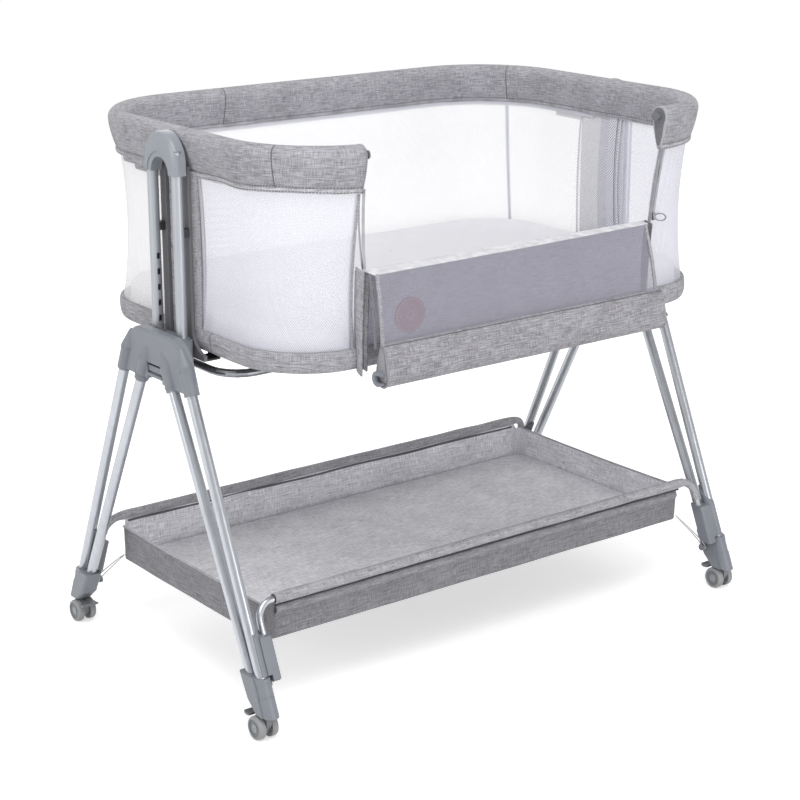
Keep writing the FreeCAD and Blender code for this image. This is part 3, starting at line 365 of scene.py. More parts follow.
blue_grey = moulded("blue_grey_moulding", (0.205, 0.218, 0.246))
cap_grey = moulded("cap_moulding", (0.285, 0.304, 0.342), 0.34)
warm_grey = moulded("caster_moulding", (0.175, 0.182, 0.192), 0.45)
end_grey = moulded("rim_end_moulding", (0.165, 0.170, 0.190), 0.5)
tread_grey = moulded("caster_tread", (0.30, 0.306, 0.312), 0.62, 500.0, 0.0002, 0.0)
black = moulded("black_moulding", (0.028, 0.028, 0.032), 0.45)
post_grey = moulded("post_moulding", (0.16, 0.159, 0.172), 0.6)
print("plastics ready")

# %% [markdown]
# ## Tubes
# The legs are satin aluminium drawn through a die, so faint streaks run along them and change the
# gloss. The uprights are painted silver, and the steel ring under the base is darker and smoother.


# %% Metals
def drawn_metal(name, colour, rough, metal=1.0, lines=(160.0, 160.0, 6.0)):
    made = Finish(name, rough, metal=metal)
    place = made.coordinates("Object")
    streak = made.fractal(place, lines)
    cloud = made.fractal(place, 10.0, 3.0)
    tone = made.tones(streak * 0.5 + cloud * 0.5, colour, 0.35, 0.92, 0.65, 1.06)
    return made.done(tone, streak * 0.08 + (rough - 0.04), streak, 0.00002, 0.2)


leg_metal = drawn_metal("satin_aluminium_legs", (0.50, 0.52, 0.555), 0.30, metal=0.8)
bright_metal = drawn_metal("painted_aluminium_uprights", (0.43, 0.452, 0.484), 0.38, metal=0.6)
long_metal = drawn_metal("satin_aluminium_long", (0.56, 0.58, 0.62), 0.32, lines=(6.0, 160.0, 160.0))
dark_metal = drawn_metal("dark_steel_ring", (0.27, 0.28, 0.30), 0.30)
zip_metal = drawn_metal("zip_metal", (0.30, 0.30, 0.33), 0.35)
print("metals ready")

# %% [markdown]
# ## Finishes for the CAD's own mouldings and tubes
# Their shapes are right already, so only the material slots change.

# %% Assign to the CAD nodes
CORNERS = ("left_front", "left_back", "right_front", "right_back")
GIVEN = [
    (leg_metal, "leg_tubes"), (bright_metal, "uprights"), (dark_metal, "base_ring"),
    (cap_grey, "upright_caps"), (post_grey, "end_posts"), (end_grey, "rim_ends"),
    (black, "base_saddles spacer_clips base_board"),
    (long_metal, "basket_tube_front basket_tube_back rim_tube drop_rail_tube"),
    (blue_grey, "feet basket_brackets hubs upright_guides drop_rail_plugs"),
    (blue_grey, "release_lever_left release_lever_right"),
    (warm_grey, " ".join("caster_yoke_%s caster_brake_%s" % (corner, corner) for corner in CORNERS))]


def cover(piece, made):
    """Gives a piece one finish in place of what it has."""
    piece.data.materials.clear()
    piece.data.materials.append(made)


for made, names in GIVEN:
    for name in names.split():
        cover(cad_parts[name], made)
print("finishes given to the solids", len(GIVEN))

# %% [markdown]
# ## The line round the crib
# The rim, the walls and the bottom band all follow rounded rectangles. One function walks along the
# rim, from the middle of the open front round to the right, and gives the place and the outward
# direction at any distance. All numbers are millimetres of the stand's own frame, whose middle lies
# 14 mm behind the origin.

# %% Walking round a rounded rectangle
SHIFT_Y = 14.0
RIM = (405.0, 281.0, 145.0)
RIM_Z = 811.0
QUARTER = math.pi / 2 * RIM[2]
RUNS = (260.0, QUARTER, 272.0, QUARTER, 520.0, QUARTER, 272.0, QUARTER, 260.0)
AROUND = sum(RUNS)
LEFT_MIDDLE = sum(RUNS[:6]) + 136.0
RIGHT_MIDDLE = sum(RUNS[:2]) + 136.0


def walk(s, hx, hy, r):
    """Point and outward direction at s mm along the rim, on a rounded rectangle of another size."""
    run = 0
    while run < 8 and s > RUNS[run]:
        s -= RUNS[run]
        run += 1
    t = s / RUNS[run]
    ax, ay = hx - r, hy - r
    straights = {0: (ax * t, -hy, 0, -1), 8: (-ax * (1 - t), -hy, 0, -1), 2: (hx, -ay + 2 * ay * t, 1, 0),
                 4: (ax - 2 * ax * t, hy, 0, 1), 6: (-hx, ay - 2 * ay * t, -1, 0)}
    if run in straights:
        return straights[run]
    cx, cy, start = {1: (ax, -ay, -90), 3: (ax, ay, 0), 5: (-ax, ay, 90), 7: (-ax, -ay, 180)}[run]
    a = math.radians(start + 90 * t)
    return cx + r * math.cos(a), cy + r * math.sin(a), math.cos(a), math.sin(a)


def grown(size, out):
    """The three numbers of a rounded rectangle, moved outwards."""
    return [k + out for k in size]


def depth_at(x, hx, hy, r):
    """Half depth of a rounded rectangle at x."""
    past = abs(x) - (hx - r)
    return hy if past <= 0 else hy - r + math.sqrt(max(0.0, r * r - past * past))


print("rim line %.0f mm" % AROUND)

# %% [markdown]
# ## Cloth from a grid
# A sheet or sleeve starts as a flat grid, like cloth on the cutting table. Its UV map is drawn in
# metres first, and then each point is carried to its place on the object, so the weave keeps its
# scale. A sleeve's two long edges meet and are sewn together by merging their points.


# %% Grid helpers
def place_mm(x, y, z):
    return Vector((x, y + SHIFT_Y, z)) * 0.001


def pick(piece):
    """Makes a piece the only one selected, and the active one."""
    bpy.ops.object.select_all(action="DESELECT")
    piece.select_set(True)
    bpy.context.view_layer.objects.active = piece


def basic(name, add_shape, **settings):
    """A new piece from one of Blender's basic shapes."""
    bpy.ops.object.select_all(action="DESELECT")
    add_shape(**settings)
    bpy.context.object.name = name
    return bpy.context.object


def flat_grid(name, cells, shape, size, sewn=False):
    piece = basic(name, bpy.ops.mesh.primitive_grid_add, x_subdivisions=cells[0],
                  y_subdivisions=cells[1], size=1.0)
    mesh = piece.data
    mesh.name = name
    drawn = mesh.uv_layers.active.data
    for loop in mesh.loops:
        co = mesh.vertices[loop.vertex_index].co
        drawn[loop.index].uv = ((co.x + 0.5) * size[0] * 0.001, (co.y + 0.5) * size[1] * 0.001)
    for vertex in mesh.vertices:
        vertex.co = place_mm(*shape(vertex.co.x + 0.5, vertex.co.y + 0.5))
    if sewn:
        edit(piece, lambda: bpy.ops.mesh.remove_doubles(threshold=0.00005))
    return piece


def edit(piece, *steps):
    """Runs edit-mode steps on the whole of one piece."""
    pick(piece)
    bpy.ops.object.mode_set(mode="EDIT")
    bpy.ops.mesh.select_all(action="SELECT")
    for step in steps:
        step()
    bpy.ops.object.mode_set(mode="OBJECT")


def modify(piece, kind, **settings):
    """Adds a modifier and applies it."""
    pick(piece)
    step = piece.modifiers.new(kind.lower(), kind)
    for key, value in settings.items():
        setattr(step, key, value)
    bpy.ops.object.modifier_apply(modifier=step.name)


def outward():
    """Turns every face's front to the outside, once the whole piece is selected."""
    bpy.ops.mesh.select_all(action="SELECT")
    bpy.ops.mesh.normals_make_consistent(inside=False)


def close_ends():
    bpy.ops.mesh.select_all(action="DESELECT")
    bpy.ops.mesh.select_non_manifold(extend=False)
    bpy.ops.mesh.edge_face_add()
    outward()


def thicken(piece, thickness, offset=0.0):
    edit(piece, outward)
    modify(piece, "SOLIDIFY", thickness=thickness, offset=offset)


def smooth(piece, degrees=40.0):
    pick(piece)
    bpy.ops.object.shade_smooth_by_angle(angle=math.radians(degrees))


def dress(piece, body, slot, made, *nodes, angle=40.0):
    """Smooths a piece, gives it its finish, and hands it to the body that it moves with."""
    smooth(piece, angle)
    cover(piece, made)
    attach(piece, body)
    if nodes:
        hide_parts(*nodes)
    return piece


def cloth(name, cells, shape, size, made, *nodes, body="crib", slot="linen", thick=0.0, offset=0.0,
          sewn=False, fine=False, angle=40.0):
    """A dressed sheet or sewn sleeve. `thick` is in metres, and `fine` divides the grid once more."""
    piece = flat_grid(name, cells, shape, size, sewn)
    if thick:
        thicken(piece, thick, offset)
    else:
        edit(piece, outward)
    if fine:
        modify(piece, "SUBSURF", levels=1, render_levels=1)
    return dress(piece, body, slot, made, *nodes, angle=angle)


def crumple(s, v, reach):
    """A gentle unevenness of tensioned cloth, the same every time."""
    return reach * noise.noise(Vector((s * 0.017, v * 3.1, s * 0.0031)))


print("helpers ready")

# %% [markdown]
# ## The padded rim sleeve
# A strip of padded linen wraps the rim tube and closes in a seam below it, so its section is a
# teardrop. It could be a swept curve, but a grid lets the sides swell a little, lets the cloth
# pucker, and lets the cross seams pull in where two lengths of sleeve are joined.

# %% The teardrop section
SLEEVE_R, SLEEVE_DROP, SLEEVE_SEAM = 14.5, 46.0, 3.5
SIDE, OVER, FOOT = 43.8, 52.64, 7.0
GIRTH = 2 * SIDE + OVER + FOOT


def teardrop(v, swell=1.6):
    """Outward and upward place on the section, v from 0 at the inner hem, over the top, to 1."""
    d = v * GIRTH
    if d <= SIDE or SIDE + OVER < d <= 2 * SIDE + OVER:
        t = d / SIDE if d <= SIDE else (2 * SIDE + OVER - d) / SIDE
        sign = -1.0 if d <= SIDE else 1.0
        puff = swell * math.sin(math.pi * t)
        out = SLEEVE_SEAM + (14.07 - SLEEVE_SEAM) * t + puff * 0.97
        return sign * out, -SLEEVE_DROP + 42.5 * t - puff * 0.2
    if d <= SIDE + OVER:
        a = math.radians(194.0 - 208.0 * (d - SIDE) / OVER)
        return SLEEVE_R * math.cos(a), SLEEVE_R * math.sin(a)
    t = (d - 2 * SIDE - OVER) / FOOT
    return SLEEVE_SEAM * (1 - 2 * t), -SLEEVE_DROP - 1.2 * math.sin(math.pi * t)


ARM_RIGHT_X, ARM_LEFT_X = 258.2, -294.2
RIM_START, RIM_END = ARM_RIGHT_X, AROUND - 224.0
CROSS_SEAMS = (842.0, 1405.0, 2086.0)
LEFT_ARM_FROM = 1900.0


def on_rim(s, out):
    """A place along the rim. The left arm is cut off square."""
    x, y = walk(s, *grown(RIM, out))[:2]
    return (min(x, ARM_LEFT_X) if s > LEFT_ARM_FROM else x), y


def hem_wave(s):
    """The hem is straight at the back and a little uneven at the front left."""
    reach = 0.4 + 1.0 * max(0.0, min(1.0, (s - LEFT_ARM_FROM) / 100.0))
    return reach * math.sin(s * 0.045 + 1.3 * math.sin(s * 0.013))


def rim_point(u, v):
    s = RIM_START + (RIM_END - RIM_START) * u
    out, up = teardrop(v)
    pull = sum(math.exp(-((s - seam) / 5.0) ** 2) for seam in CROSS_SEAMS)
    side = min(1.0, abs(up) / 12.0)
    k = 1.0 + (crumple(s, v, 0.11) * side - 0.05 * pull)
    hem = max(0.0, (-up - 30.0) / 16.0)
    up += hem * hem_wave(s)
    x, y = on_rim(s, out * k)
    return x, y, RIM_Z + up * (1.0 - 0.02 * pull)


RIM_LENGTH = RIM_END - RIM_START
rim_linen = linen("rim_linen", seams_u=[(s - RIM_START) * 0.001 for s in CROSS_SEAMS],
                  stitches_v=(0.0045, (GIRTH - FOOT - 4.5) * 0.001))
rim_sleeve = cloth("rim_sleeve", (360, 34), rim_point, (RIM_LENGTH, GIRTH), rim_linen, "rim_cover",
                   sewn=True, fine=True, angle=70.0)
print("rim sleeve faces", len(rim_sleeve.data.polygons))

# %% [markdown]
# ## The hem below the sleeve
# Where the netting is sewn in, a narrow folded hem shows as a lighter line below the sleeve. At the
# two ends it is doubled into short stepped flaps behind the uprights.


# %% Hem and flaps
def hem_strip(name, start, end, out, top, low, made):
    def point(u, v):
        s = start + (end - start) * u
        x, y = on_rim(s, out + 0.9 * math.sin(math.pi * v) + crumple(s, v, 0.5))
        return x, y, RIM_Z - low + (low - top) * v + hem_wave(s)

    cells = (max(6, int((end - start) / 8)), 3)
    cloth(name, cells, point, (end - start, low - top), made, thick=0.0014)


hem_linen = linen("hem_linen", (0.44, 0.435, 0.465), stitches_v=(0.0018,))
hem_strip("rim_hem", RIM_START, RIM_END, 3.6, 44.0, 50.0, hem_linen)
hem_strip("rim_hem_inner", RIM_START, RIM_END, -3.6, 44.0, 49.0, hem_linen)
for side, middle in (("left", LEFT_MIDDLE), ("right", RIGHT_MIDDLE)):
    sign = -1.0 if side == "left" else 1.0
    for step, (near, far, drop) in enumerate(((28.0, 150.0, 56.0), (28.0, 118.0, 63.0))):
        ends = sorted((middle + sign * near, middle + sign * far))
        hem_strip("rim_flap_%s_%d" % (side, step + 1), ends[0], ends[1], 5.4 - 1.2 * step,
                  drop - 11.0, drop, plain_linen)
print("hems ready")

# %% [markdown]
# ## Bindings at the ends of a sleeve
# Each end of the rim's arms and of the rail is closed by a teardrop plate of cloth, round the
# plastic end that carries the stud. A larger plate behind it makes its binding. A filled circle is
# drawn to the section's outline, extruded and bevelled.


# %% Teardrop end piece
def end_piece(name, body, x_in, x_out, y, z, up_sign, grow, made):
    """A bevelled plate of the sleeve's section, from x_in to x_out."""
    plate = basic(name, bpy.ops.mesh.primitive_circle_add, vertices=44, radius=1.0, fill_type="NGON")
    for i, vertex in enumerate(plate.data.vertices):
        out, up = teardrop((i + 0.5) / 44, 1.0)
        reach = math.hypot(out, up + 12.0)
        k = (reach + grow) / reach
        vertex.co = place_mm(x_in, y - up_sign * out * k, z + up_sign * ((up + 12.0) * k - 12.0))
    step = (x_out - x_in) * 0.001
    edit(plate, lambda: bpy.ops.mesh.extrude_region_move(TRANSFORM_OT_translate={"value": (step, 0, 0)}),
         outward)
    modify(plate, "BEVEL", width=0.0008, segments=2, limit_method="ANGLE")
    dress(plate, body, "linen", made)


rim_arm_y = -depth_at(292.0, *RIM)
# The cloth plates use the darker linen copy: the end faces' shade is painted into their colour.
for name, x_in, x_out, y, grow, made in (("binding_left", -295.0, -291.6, rim_arm_y, 0.6, light_linen),
                                         ("binding_right", 260.0, 257.0, -RIM[1], 0.8, light_linen),
                                         ("cloth_left", -292.2, -291.3, rim_arm_y, -2.2, painted_shade_linen),
                                         ("cloth_right", 257.2, 256.7, -RIM[1], -2.4, painted_shade_linen)):
    end_piece("rim_end_" + name, "crib", x_in, x_out, y, RIM_Z, 1, grow, made)
print("arm ends ready")

# %% [markdown]
# ## The netting walls
# The netting is pulled tight between the rim and the band and draws in a little at half height. The
# curve through three heights gives that waist. Each wall runs on behind the padded end strip, where
# the real ones are joined.

# %% Walls
LOW, MID, TOP = (406.5, 259.5, 113.0), (399.75, 264.25, 129.0), (405.0, 281.0, 145.0)
WALL_LOW, WALL_HIGH = 540.2, 764.8
SEWN_LOW, SEWN_HIGH = 536.0, 767.0
SKIN = -0.9


def wall_size(z):
    w = (z - WALL_LOW) / (WALL_HIGH - WALL_LOW)
    a, b, c = (1 - w) * (1 - 2 * w), 4 * w * (1 - w), w * (2 * w - 1)
    return tuple(a * p + b * q + c * r for p, q, r in zip(LOW, MID, TOP))


def wall_sheet(name, start, end, made, node, limits=(-1000.0, 1000.0)):
    """Netting from one distance along the rim to another, trimmed at an upright free edge."""
    def point(u, v):
        z = SEWN_LOW + (SEWN_HIGH - SEWN_LOW) * v
        size = grown(wall_size(z), SKIN)
        x, y = walk(start + (end - start) * u, *size)[:2]
        trimmed = min(max(x, limits[0]), limits[1])
        if trimmed != x and y < 0:
            y = -depth_at(trimmed, *size)
        return trimmed, y, z

    sheet = cloth(name, (int((end - start) / 9), 24), point, (end - start, 231.0), made, node,
                  slot="white_mesh")
    (end - start) * 0.001
    print(name, "faces", len(sheet.data.polygons))


wall_sheet("wall_back", RIGHT_MIDDLE, LEFT_MIDDLE, white_netting, "mesh_back")
wall_sheet("wall_right_front", 229.0, RIGHT_MIDDLE, painted_shade_netting, "mesh_right_front", (258.0, 1000.0))
wall_sheet("wall_left_front", LEFT_MIDDLE, AROUND - 229.0, painted_shade_netting, "mesh_left_front",
           (-1000.0, -294.0))


def netting_strip(name, start, end, low, high, out):
    """A doubled strip of netting: along the top seam, down a corner seam or over an end strip's edge."""
    def point(u, v):
        z = low + (high - low) * v
        return *walk(start + (end - start) * u, *grown(wall_size(z), SKIN + out))[:2], z

    cells = (max(2, int((end - start) / 9)), max(2, int((high - low) / 10)))
    cloth(name, cells, point, (end - start, high - low), seam_netting, slot="white_mesh")


NET_LOW, NET_HIGH = 540.0, 766.0
netting_strip("top_seam_netting", 640.0, AROUND - 520.0, 757.0, NET_HIGH, -1.6)
netting_strip("corner_seam_netting", 840.0, 846.0, NET_LOW, NET_HIGH, -1.6)
netting_strip("corner_seam_netting_left", 1645.0, 1651.0, NET_LOW, NET_HIGH, -1.6)
for side, middle in (("left", LEFT_MIDDLE), ("right", RIGHT_MIDDLE)):
    sign = 1.0 if side == "left" else -1.0
    for end, near, far in (("front", 46.0, 50.0), ("back", -50.0, -46.0), ("inner", 22.0, 40.0)):
        ends = sorted((middle + sign * near, middle + sign * far))
        netting_strip("strip_edge_%s_%s" % (side, end), ends[0], ends[1], NET_LOW, NET_HIGH, -1.8)
print("walls ready")

# %% [markdown]
# ## The fixed front wall and its patch
# Below the fold the front stays up. It is grey linen, seen through the hanging netting panel, with
# a plain round patch sewn near its left end.

# %% Front wall
FOLD_Z = 650.0
FRONT_LEFT_X, FRONT_WIDE = -291.6, 547.2


def front_point(u, v):
    x = FRONT_LEFT_X + FRONT_WIDE * u
    z = SEWN_LOW + (FOLD_Z - SEWN_LOW) * v
    return x, -depth_at(x, *grown(wall_size(z), SKIN)), z


front_linen = linen("front_wall_linen", (0.48, 0.47, 0.56), stitches_v=(0.110,), contrast=0.7)
front_wall = cloth("front_wall_cloth", (90, 16), front_point, (FRONT_WIDE, 114.0), front_linen, "front_wall",
                   thick=0.0016)


def patch_finish():
    """Dull rose felt with a sewn ring near its edge and another at the middle."""
    made = Finish("rose_patch", 0.9, sheen=0.2)
    place = made.coordinates("UV")
    far = made.node("ShaderNodeVectorMath", {0: place}, out=1, operation="LENGTH")
    felt = made.fractal(place, 700.0, 3.0)
    rings = far.near(0.0235, 0.0006).most(far.near(0.006, 0.0006))
    tone = made.ramp(felt, (0.3, (0.33, 0.070, 0.085)), (0.7, (0.42, 0.105, 0.125)))
    tone = made.mix(rings * 0.7, tone, (0.55, 0.34, 0.38))
    return made.done(tone, felt * 0.2 + 0.75, felt - rings, 0.0004, 0.7)


PATCH_X, PATCH_Z, PATCH_R = -197.0, 573.0, 26.0
patch = basic("front_patch", bpy.ops.mesh.primitive_circle_add, vertices=48, radius=PATCH_R, fill_type="NGON")
edit(patch, lambda: bpy.ops.mesh.inset(thickness=2.5), lambda: bpy.ops.mesh.inset(thickness=12.0),
     lambda: bpy.ops.mesh.poke())
patch.data.uv_layers.new(name="cloth")
for loop in patch.data.loops:
    co = patch.data.vertices[loop.vertex_index].co
    patch.data.uv_layers.active.data[loop.index].uv = (co.x * 0.001, co.y * 0.001)
for vertex in patch.data.vertices:
    x, z = PATCH_X + vertex.co.x, PATCH_Z + vertex.co.y
    rise = 2.0 + 0.9 * (1.0 - (vertex.co.xy.length / PATCH_R) ** 4)
    vertex.co = place_mm(x, -depth_at(x, *wall_size(z)) - rise, z)
thicken(patch, 0.0012)
dress(patch, "crib", "linen", patch_finish())
print("front wall and patch ready")

# %% [markdown]
# ## The padded bottom band
# A padded ring of linen closes the walls below. It is fullest at half height and is drawn in
# underneath, where it turns under the base.


# %% Bottom band
BAND, BAND_LOW = (410.0, 263.0, 113.0), 510.0


def band_point(u, v):
    s = AROUND * u
    a = 2 * math.pi * v
    out = -3.4 + 4.4 * math.copysign(abs(math.cos(a)) ** 0.75, math.cos(a))
    up = 15.5 + 15.5 * math.copysign(abs(math.sin(a)) ** 0.7, math.sin(a))
    out -= 3.4 * max(0.0, 0.45 - up / 30.0) ** 1.2
    out += crumple(s, v, 0.9)
    return *walk(s, *grown(BAND, out))[:2], BAND_LOW + up


band_linen = linen("band_linen", seams_u=(0.31, 1.12, 1.94), stitches_v=(0.0165,))
band = cloth("padded_bottom_band", (300, 20), band_point, (AROUND, 82.0), band_linen, "bottom_band",
             sewn=True, angle=70.0)
print("band faces", len(band.data.polygons))

# %% [markdown]
# ## The base's underside
# A stiff board carries the mattress. From below it is covered with the same linen, drawn tight and
# held under the band, so a cloth skin goes just under the board. Its linen is the darker copy, with the shade
# under the base painted in.


# %% Base skin
def ring_point(u, v, hx, hy, r):
    """Carries a square grid, ring by ring, to a rounded rectangle: the ring's share and its edge point."""
    a, b = 2 * u - 1, 2 * v - 1
    ring = max(abs(a), abs(b))
    angle = math.atan2(b * hy, a * hx) if ring > 0 else 0.0
    dx, dy = math.cos(angle), math.sin(angle)
    low, high = 0.0, 2.0 * hx
    for _ in range(34):
        far = (low + high) / 2
        x, y = abs(dx * far), abs(dy * far)
        inside = x <= hx and y <= hy and math.hypot(max(0.0, x - hx + r), max(0.0, y - hy + r)) < r
        low, high = (far, high) if inside else (low, far)
    return ring, dx * low, dy * low


def base_point(u, v):
    ring, x, y = ring_point(u, v, 401.5, 254.5, 105.0)
    return x * ring, y * ring, 509.6 - 0.8 * (1 - ring) + 0.3 * math.sin(x * 0.03)


base_skin = cloth("base_underside_cloth", (40, 28), base_point, (803.0, 509.0), painted_shade_linen, thick=0.0008)
print("underside ready")

# %% [markdown]
# ## The mattress
# Foam in a quilted cover swells between its edges. A square grid is carried ring by ring to the
# mattress's top, rounded edge and side, and its bottom is closed with one face. A cloth simulation
# with pressure and no gravity inflates it a little. The move of each point is capped, so the edges
# stay firm and the top is softly crowned. It lies flat on the board.

# %% Mattress
MATTRESS_LOW, MATTRESS_TOP = 517.4, 564.8
FLAT_TO, ROUND_TO, FLAT_SHARE = 0.8, 0.9, 0.965
CROWN, EDGE_R = 1.8, 9.0


def mattress_point(u, v):
    """Top, rounded edge and side of the mattress, from the grid's middle to its border."""
    ring, x, y = ring_point(u, v, 395.0, 248.0, 99.0)
    if ring < FLAT_TO:
        share, drop = ring / FLAT_TO * FLAT_SHARE, CROWN * (ring / FLAT_TO) ** 4
    elif ring < ROUND_TO:
        turn = (ring - FLAT_TO) / (ROUND_TO - FLAT_TO) * math.pi / 2
        share = FLAT_SHARE + (1 - FLAT_SHARE) * math.sin(turn)
        drop = CROWN + EDGE_R * (1 - math.cos(turn))
    else:
        side = MATTRESS_TOP - MATTRESS_LOW - CROWN - EDGE_R
        share, drop = 1.0, CROWN + EDGE_R + side * (ring - ROUND_TO) / (1 - ROUND_TO)
    return x * share, y * share, MATTRESS_TOP - drop


mattress = flat_grid("quilted_mattress", (100, 80), mattress_point, (880.0, 586.0))
edit(mattress, close_ends)


def swell(piece, pressure, cap, frames=16):
    """Inflates a padded piece as a cloth bag and keeps each point within cap metres."""
    before = [vertex.co.copy() for vertex in piece.data.vertices]
    bag = piece.modifiers.new("cloth", "CLOTH")
    bag.settings.use_pressure = True
    bag.settings.uniform_pressure_force = pressure
    bag.settings.effector_weights.gravity = 0.0
    bag.settings.quality = 5
    scene = bpy.context.scene
    for number in range(1, frames + 1):
        scene.frame_set(number)
    shaped = piece.evaluated_get(bpy.context.evaluated_depsgraph_get())
    after = [vertex.co.copy() for vertex in shaped.data.vertices]
    piece.modifiers.remove(bag)
    scene.frame_set(1)
    for vertex, old, new in zip(piece.data.vertices, before, after):
        move = new - old
        if move.length > cap:
            move *= cap / move.length
        vertex.co = old + move
    modify(piece, "SMOOTH", factor=0.5, iterations=4)


swell(mattress, 2.0, 0.0015)
for vertex in mattress.data.vertices:
    vertex.co.z = max(vertex.co.z, MATTRESS_LOW * 0.001)
dress(mattress, "crib", "white_quilt", quilt_cotton, "mattress", angle=60.0)
print("mattress", [round(c, 4) for c in mattress.dimensions])

# %% [markdown]
# ## End strips
# Behind each pair of uprights a padded linen strip joins the netting walls. It is a flat box with
# pulled-in sides and a row of stitches down each edge.


# %% End strips
STRIP_X, STRIP_HALF = 407.9, 50.0


def strip_point(sign):
    def point(u, v):
        z = SEWN_HIGH - 229.0 * (1 - v)
        around = 2 * math.pi * u
        flat = math.copysign(abs(math.cos(around)) ** 0.3, math.cos(around))
        thin = math.copysign(abs(math.sin(around)) ** 0.6, math.sin(around))
        waist = wall_size(z)[0] - RIM[0]
        x = STRIP_X + 3.4 * thin + 0.25 * waist * (thin < 0)
        return sign * (x + crumple(z, u, 0.4)), STRIP_HALF * flat, z
    return point


strip_linen = linen("strip_linen", (0.375, 0.37, 0.40), stitches_u=(0.0105, 0.0995, 0.1205, 0.2095))
for side, sign in (("left", -1.0), ("right", 1.0)):
    strip = flat_grid("end_strip_" + side, (44, 40), strip_point(sign), (220.0, 229.0), sewn=True)
    edit(strip, close_ends)
    dress(strip, "crib", "linen", strip_linen, "end_strips", angle=50.0)
print("strips ready")

# %% [markdown]
# ## Zips on the free edges
# Each front corner wall ends in a zip that holds the raised side: a tape down the edge, a dark row
# of teeth beside it above the fold, and a light binding. The right one has a slider with a ring
# pull. On the left the teeth and the binding swing away from the tape towards the fold.


# %% Zip tapes
def zip_strip(name, x, half, proud, thick, made, *nodes, low=WALL_LOW, lean=0.0):
    def point(u, v):
        z = low + (WALL_HIGH - low) * v
        px = x + half * (2 * u - 1)
        swing = 1.6 * math.sin(z * 0.021 + x) + lean * (1.0 - v) ** 1.4
        y = -depth_at(px, *wall_size(z)) - proud - 0.5 * math.cos(math.pi * (u - 0.5))
        return px + swing, y, z

    cloth(name, (4, 40), point, (2 * half, 224.6), made, *nodes, thick=thick)


for side, x, lean in (("left", -297.0, 13.0), ("right", 261.0, 0.0)):
    zip_strip("zip_tape_" + side, x, 1.8, 1.6, 0.0020, zip_cloth if side == "right" else plain_linen,
              "zip_tapes")
    zip_strip("zip_teeth_" + side, x + 3.6, 1.0, 0.9, 0.0012, zip_metal, low=FOLD_Z, lean=lean)
    zip_strip("zip_edge_" + side, x + 6.6, 1.8, 1.7, 0.0022, binding_tape, low=FOLD_Z, lean=lean)

slider = basic("zip_slider", bpy.ops.mesh.primitive_cube_add, size=1.0)
for vertex in slider.data.vertices:
    wide = 4.4 if vertex.co.z > 0 else 3.0
    vertex.co = place_mm(264.0 + wide * vertex.co.x, -269.5 + 5.0 * vertex.co.y, 656.0 + 12.0 * vertex.co.z)
modify(slider, "BEVEL", width=0.0012, segments=3)
dress(slider, "crib", "linen", zip_metal)

pull = basic("zip_ring_pull", bpy.ops.mesh.primitive_torus_add, major_radius=1.0, minor_radius=0.13,
             major_segments=40, minor_segments=10)
for vertex in pull.data.vertices:
    x, y, z = vertex.co
    vertex.co = place_mm(275.5 + 9.5 * x, -272.5 + 3.0 * y - 2.0 * x, 654.0 + 5.0 * y + 6.0 * z)
dress(pull, "crib", "linen", zip_metal)
print("zips ready")

# %% [markdown]
# ## The hanging side
# The open side hangs on the fold: a fine netting panel falls to the rail, whose padded sleeve has
# its seam upwards. The panel leans out, because the rail hangs in front of the wall.

# %% Panel, its edges and the rail sleeve
RAIL_Y, RAIL_Z = -309.0, 507.0
RAIL_LEFT_X, RAIL_RIGHT_X = -280.5, 244.5
WIDE = RAIL_RIGHT_X - RAIL_LEFT_X
PANEL_RIGHT_X = 236.0
PANEL_WIDE = PANEL_RIGHT_X - RAIL_LEFT_X
SEAM_Z = RAIL_Z + SLEEVE_DROP


def fold_y(x):
    """The fold comes nearer to the wall towards its right end."""
    return -297.0 + 16.0 * max(0.0, min(1.0, (x + 280.0) / 523.0)) ** 1.5


def hanging_y(x, v):
    """From the rail's seam at v = 0 up to the fold."""
    return RAIL_Y + (fold_y(x) - RAIL_Y) * v ** 1.1


def panel_point(u, v):
    x = RAIL_LEFT_X + PANEL_WIDE * u
    z = SEAM_Z - 3.0 + (FOLD_Z - SEAM_Z + 3.0) * v
    slack = 1.8 * math.sin(math.pi * v) * (0.6 + 0.4 * math.sin(x * 0.012))
    return x, hanging_y(x, v) + slack + crumple(x, v, 1.0), z


panel = cloth("hanging_panel", (80, 20), panel_point, (PANEL_WIDE, 100.0), panel_netting, "drop_panel",
              body="drop_side", slot="grey_mesh")


def rail_point(u, v):
    x = RAIL_LEFT_X + WIDE * u
    out, up = teardrop(v, 2.2)
    side = min(1.0, abs(up) / 12.0)
    k = 1.0 + crumple(x * 1.3, v, 0.14) * side
    return x, RAIL_Y - out * k, RAIL_Z - up


rail_linen = linen("rail_linen", (0.30, 0.295, 0.318), seams_v=(0.0006, 0.0018, (GIRTH - FOOT - 1.0) * 0.001),
                   contrast=1.15)
rail_sleeve = cloth("rail_sleeve", (110, 34), rail_point, (WIDE, GIRTH), rail_linen, "drop_rail_cover",
                    body="drop_side", sewn=True, fine=True, angle=70.0)
# The cloth plate uses the darker linen copy: the end face's shade is painted into its colour.
for name, x_in, x_out, grow, made in (
        ("binding_left", RAIL_LEFT_X + 0.5, RAIL_LEFT_X - 1.4, 0.8, plain_linen),
        ("binding_right", RAIL_RIGHT_X - 0.5, RAIL_RIGHT_X + 2.2, 0.8, plain_linen),
        ("cloth_left", RAIL_LEFT_X - 0.9, RAIL_LEFT_X - 1.8, -2.0, painted_shade_linen),
        ("fold_left", RAIL_LEFT_X - 1.3, RAIL_LEFT_X - 2.2, -4.4, plain_linen)):
    end_piece("rail_end_" + name, "drop_side", x_in, x_out, RAIL_Y, RAIL_Z, -1, grow, made)


def edge_tape(side, x, half, lean, made):
    def point(u, v):
        z = SEAM_Z - 6.0 + (FOLD_Z - SEAM_Z + 6.0) * v
        px = x + half * (2 * u - 1)
        return px, hanging_y(px, v) + lean + 0.8 * math.sin(z * 0.05), z

    cloth("panel_edge_" + side, (3, 24), point, (2 * half, 103.0), made, body="drop_side", thick=0.0022)
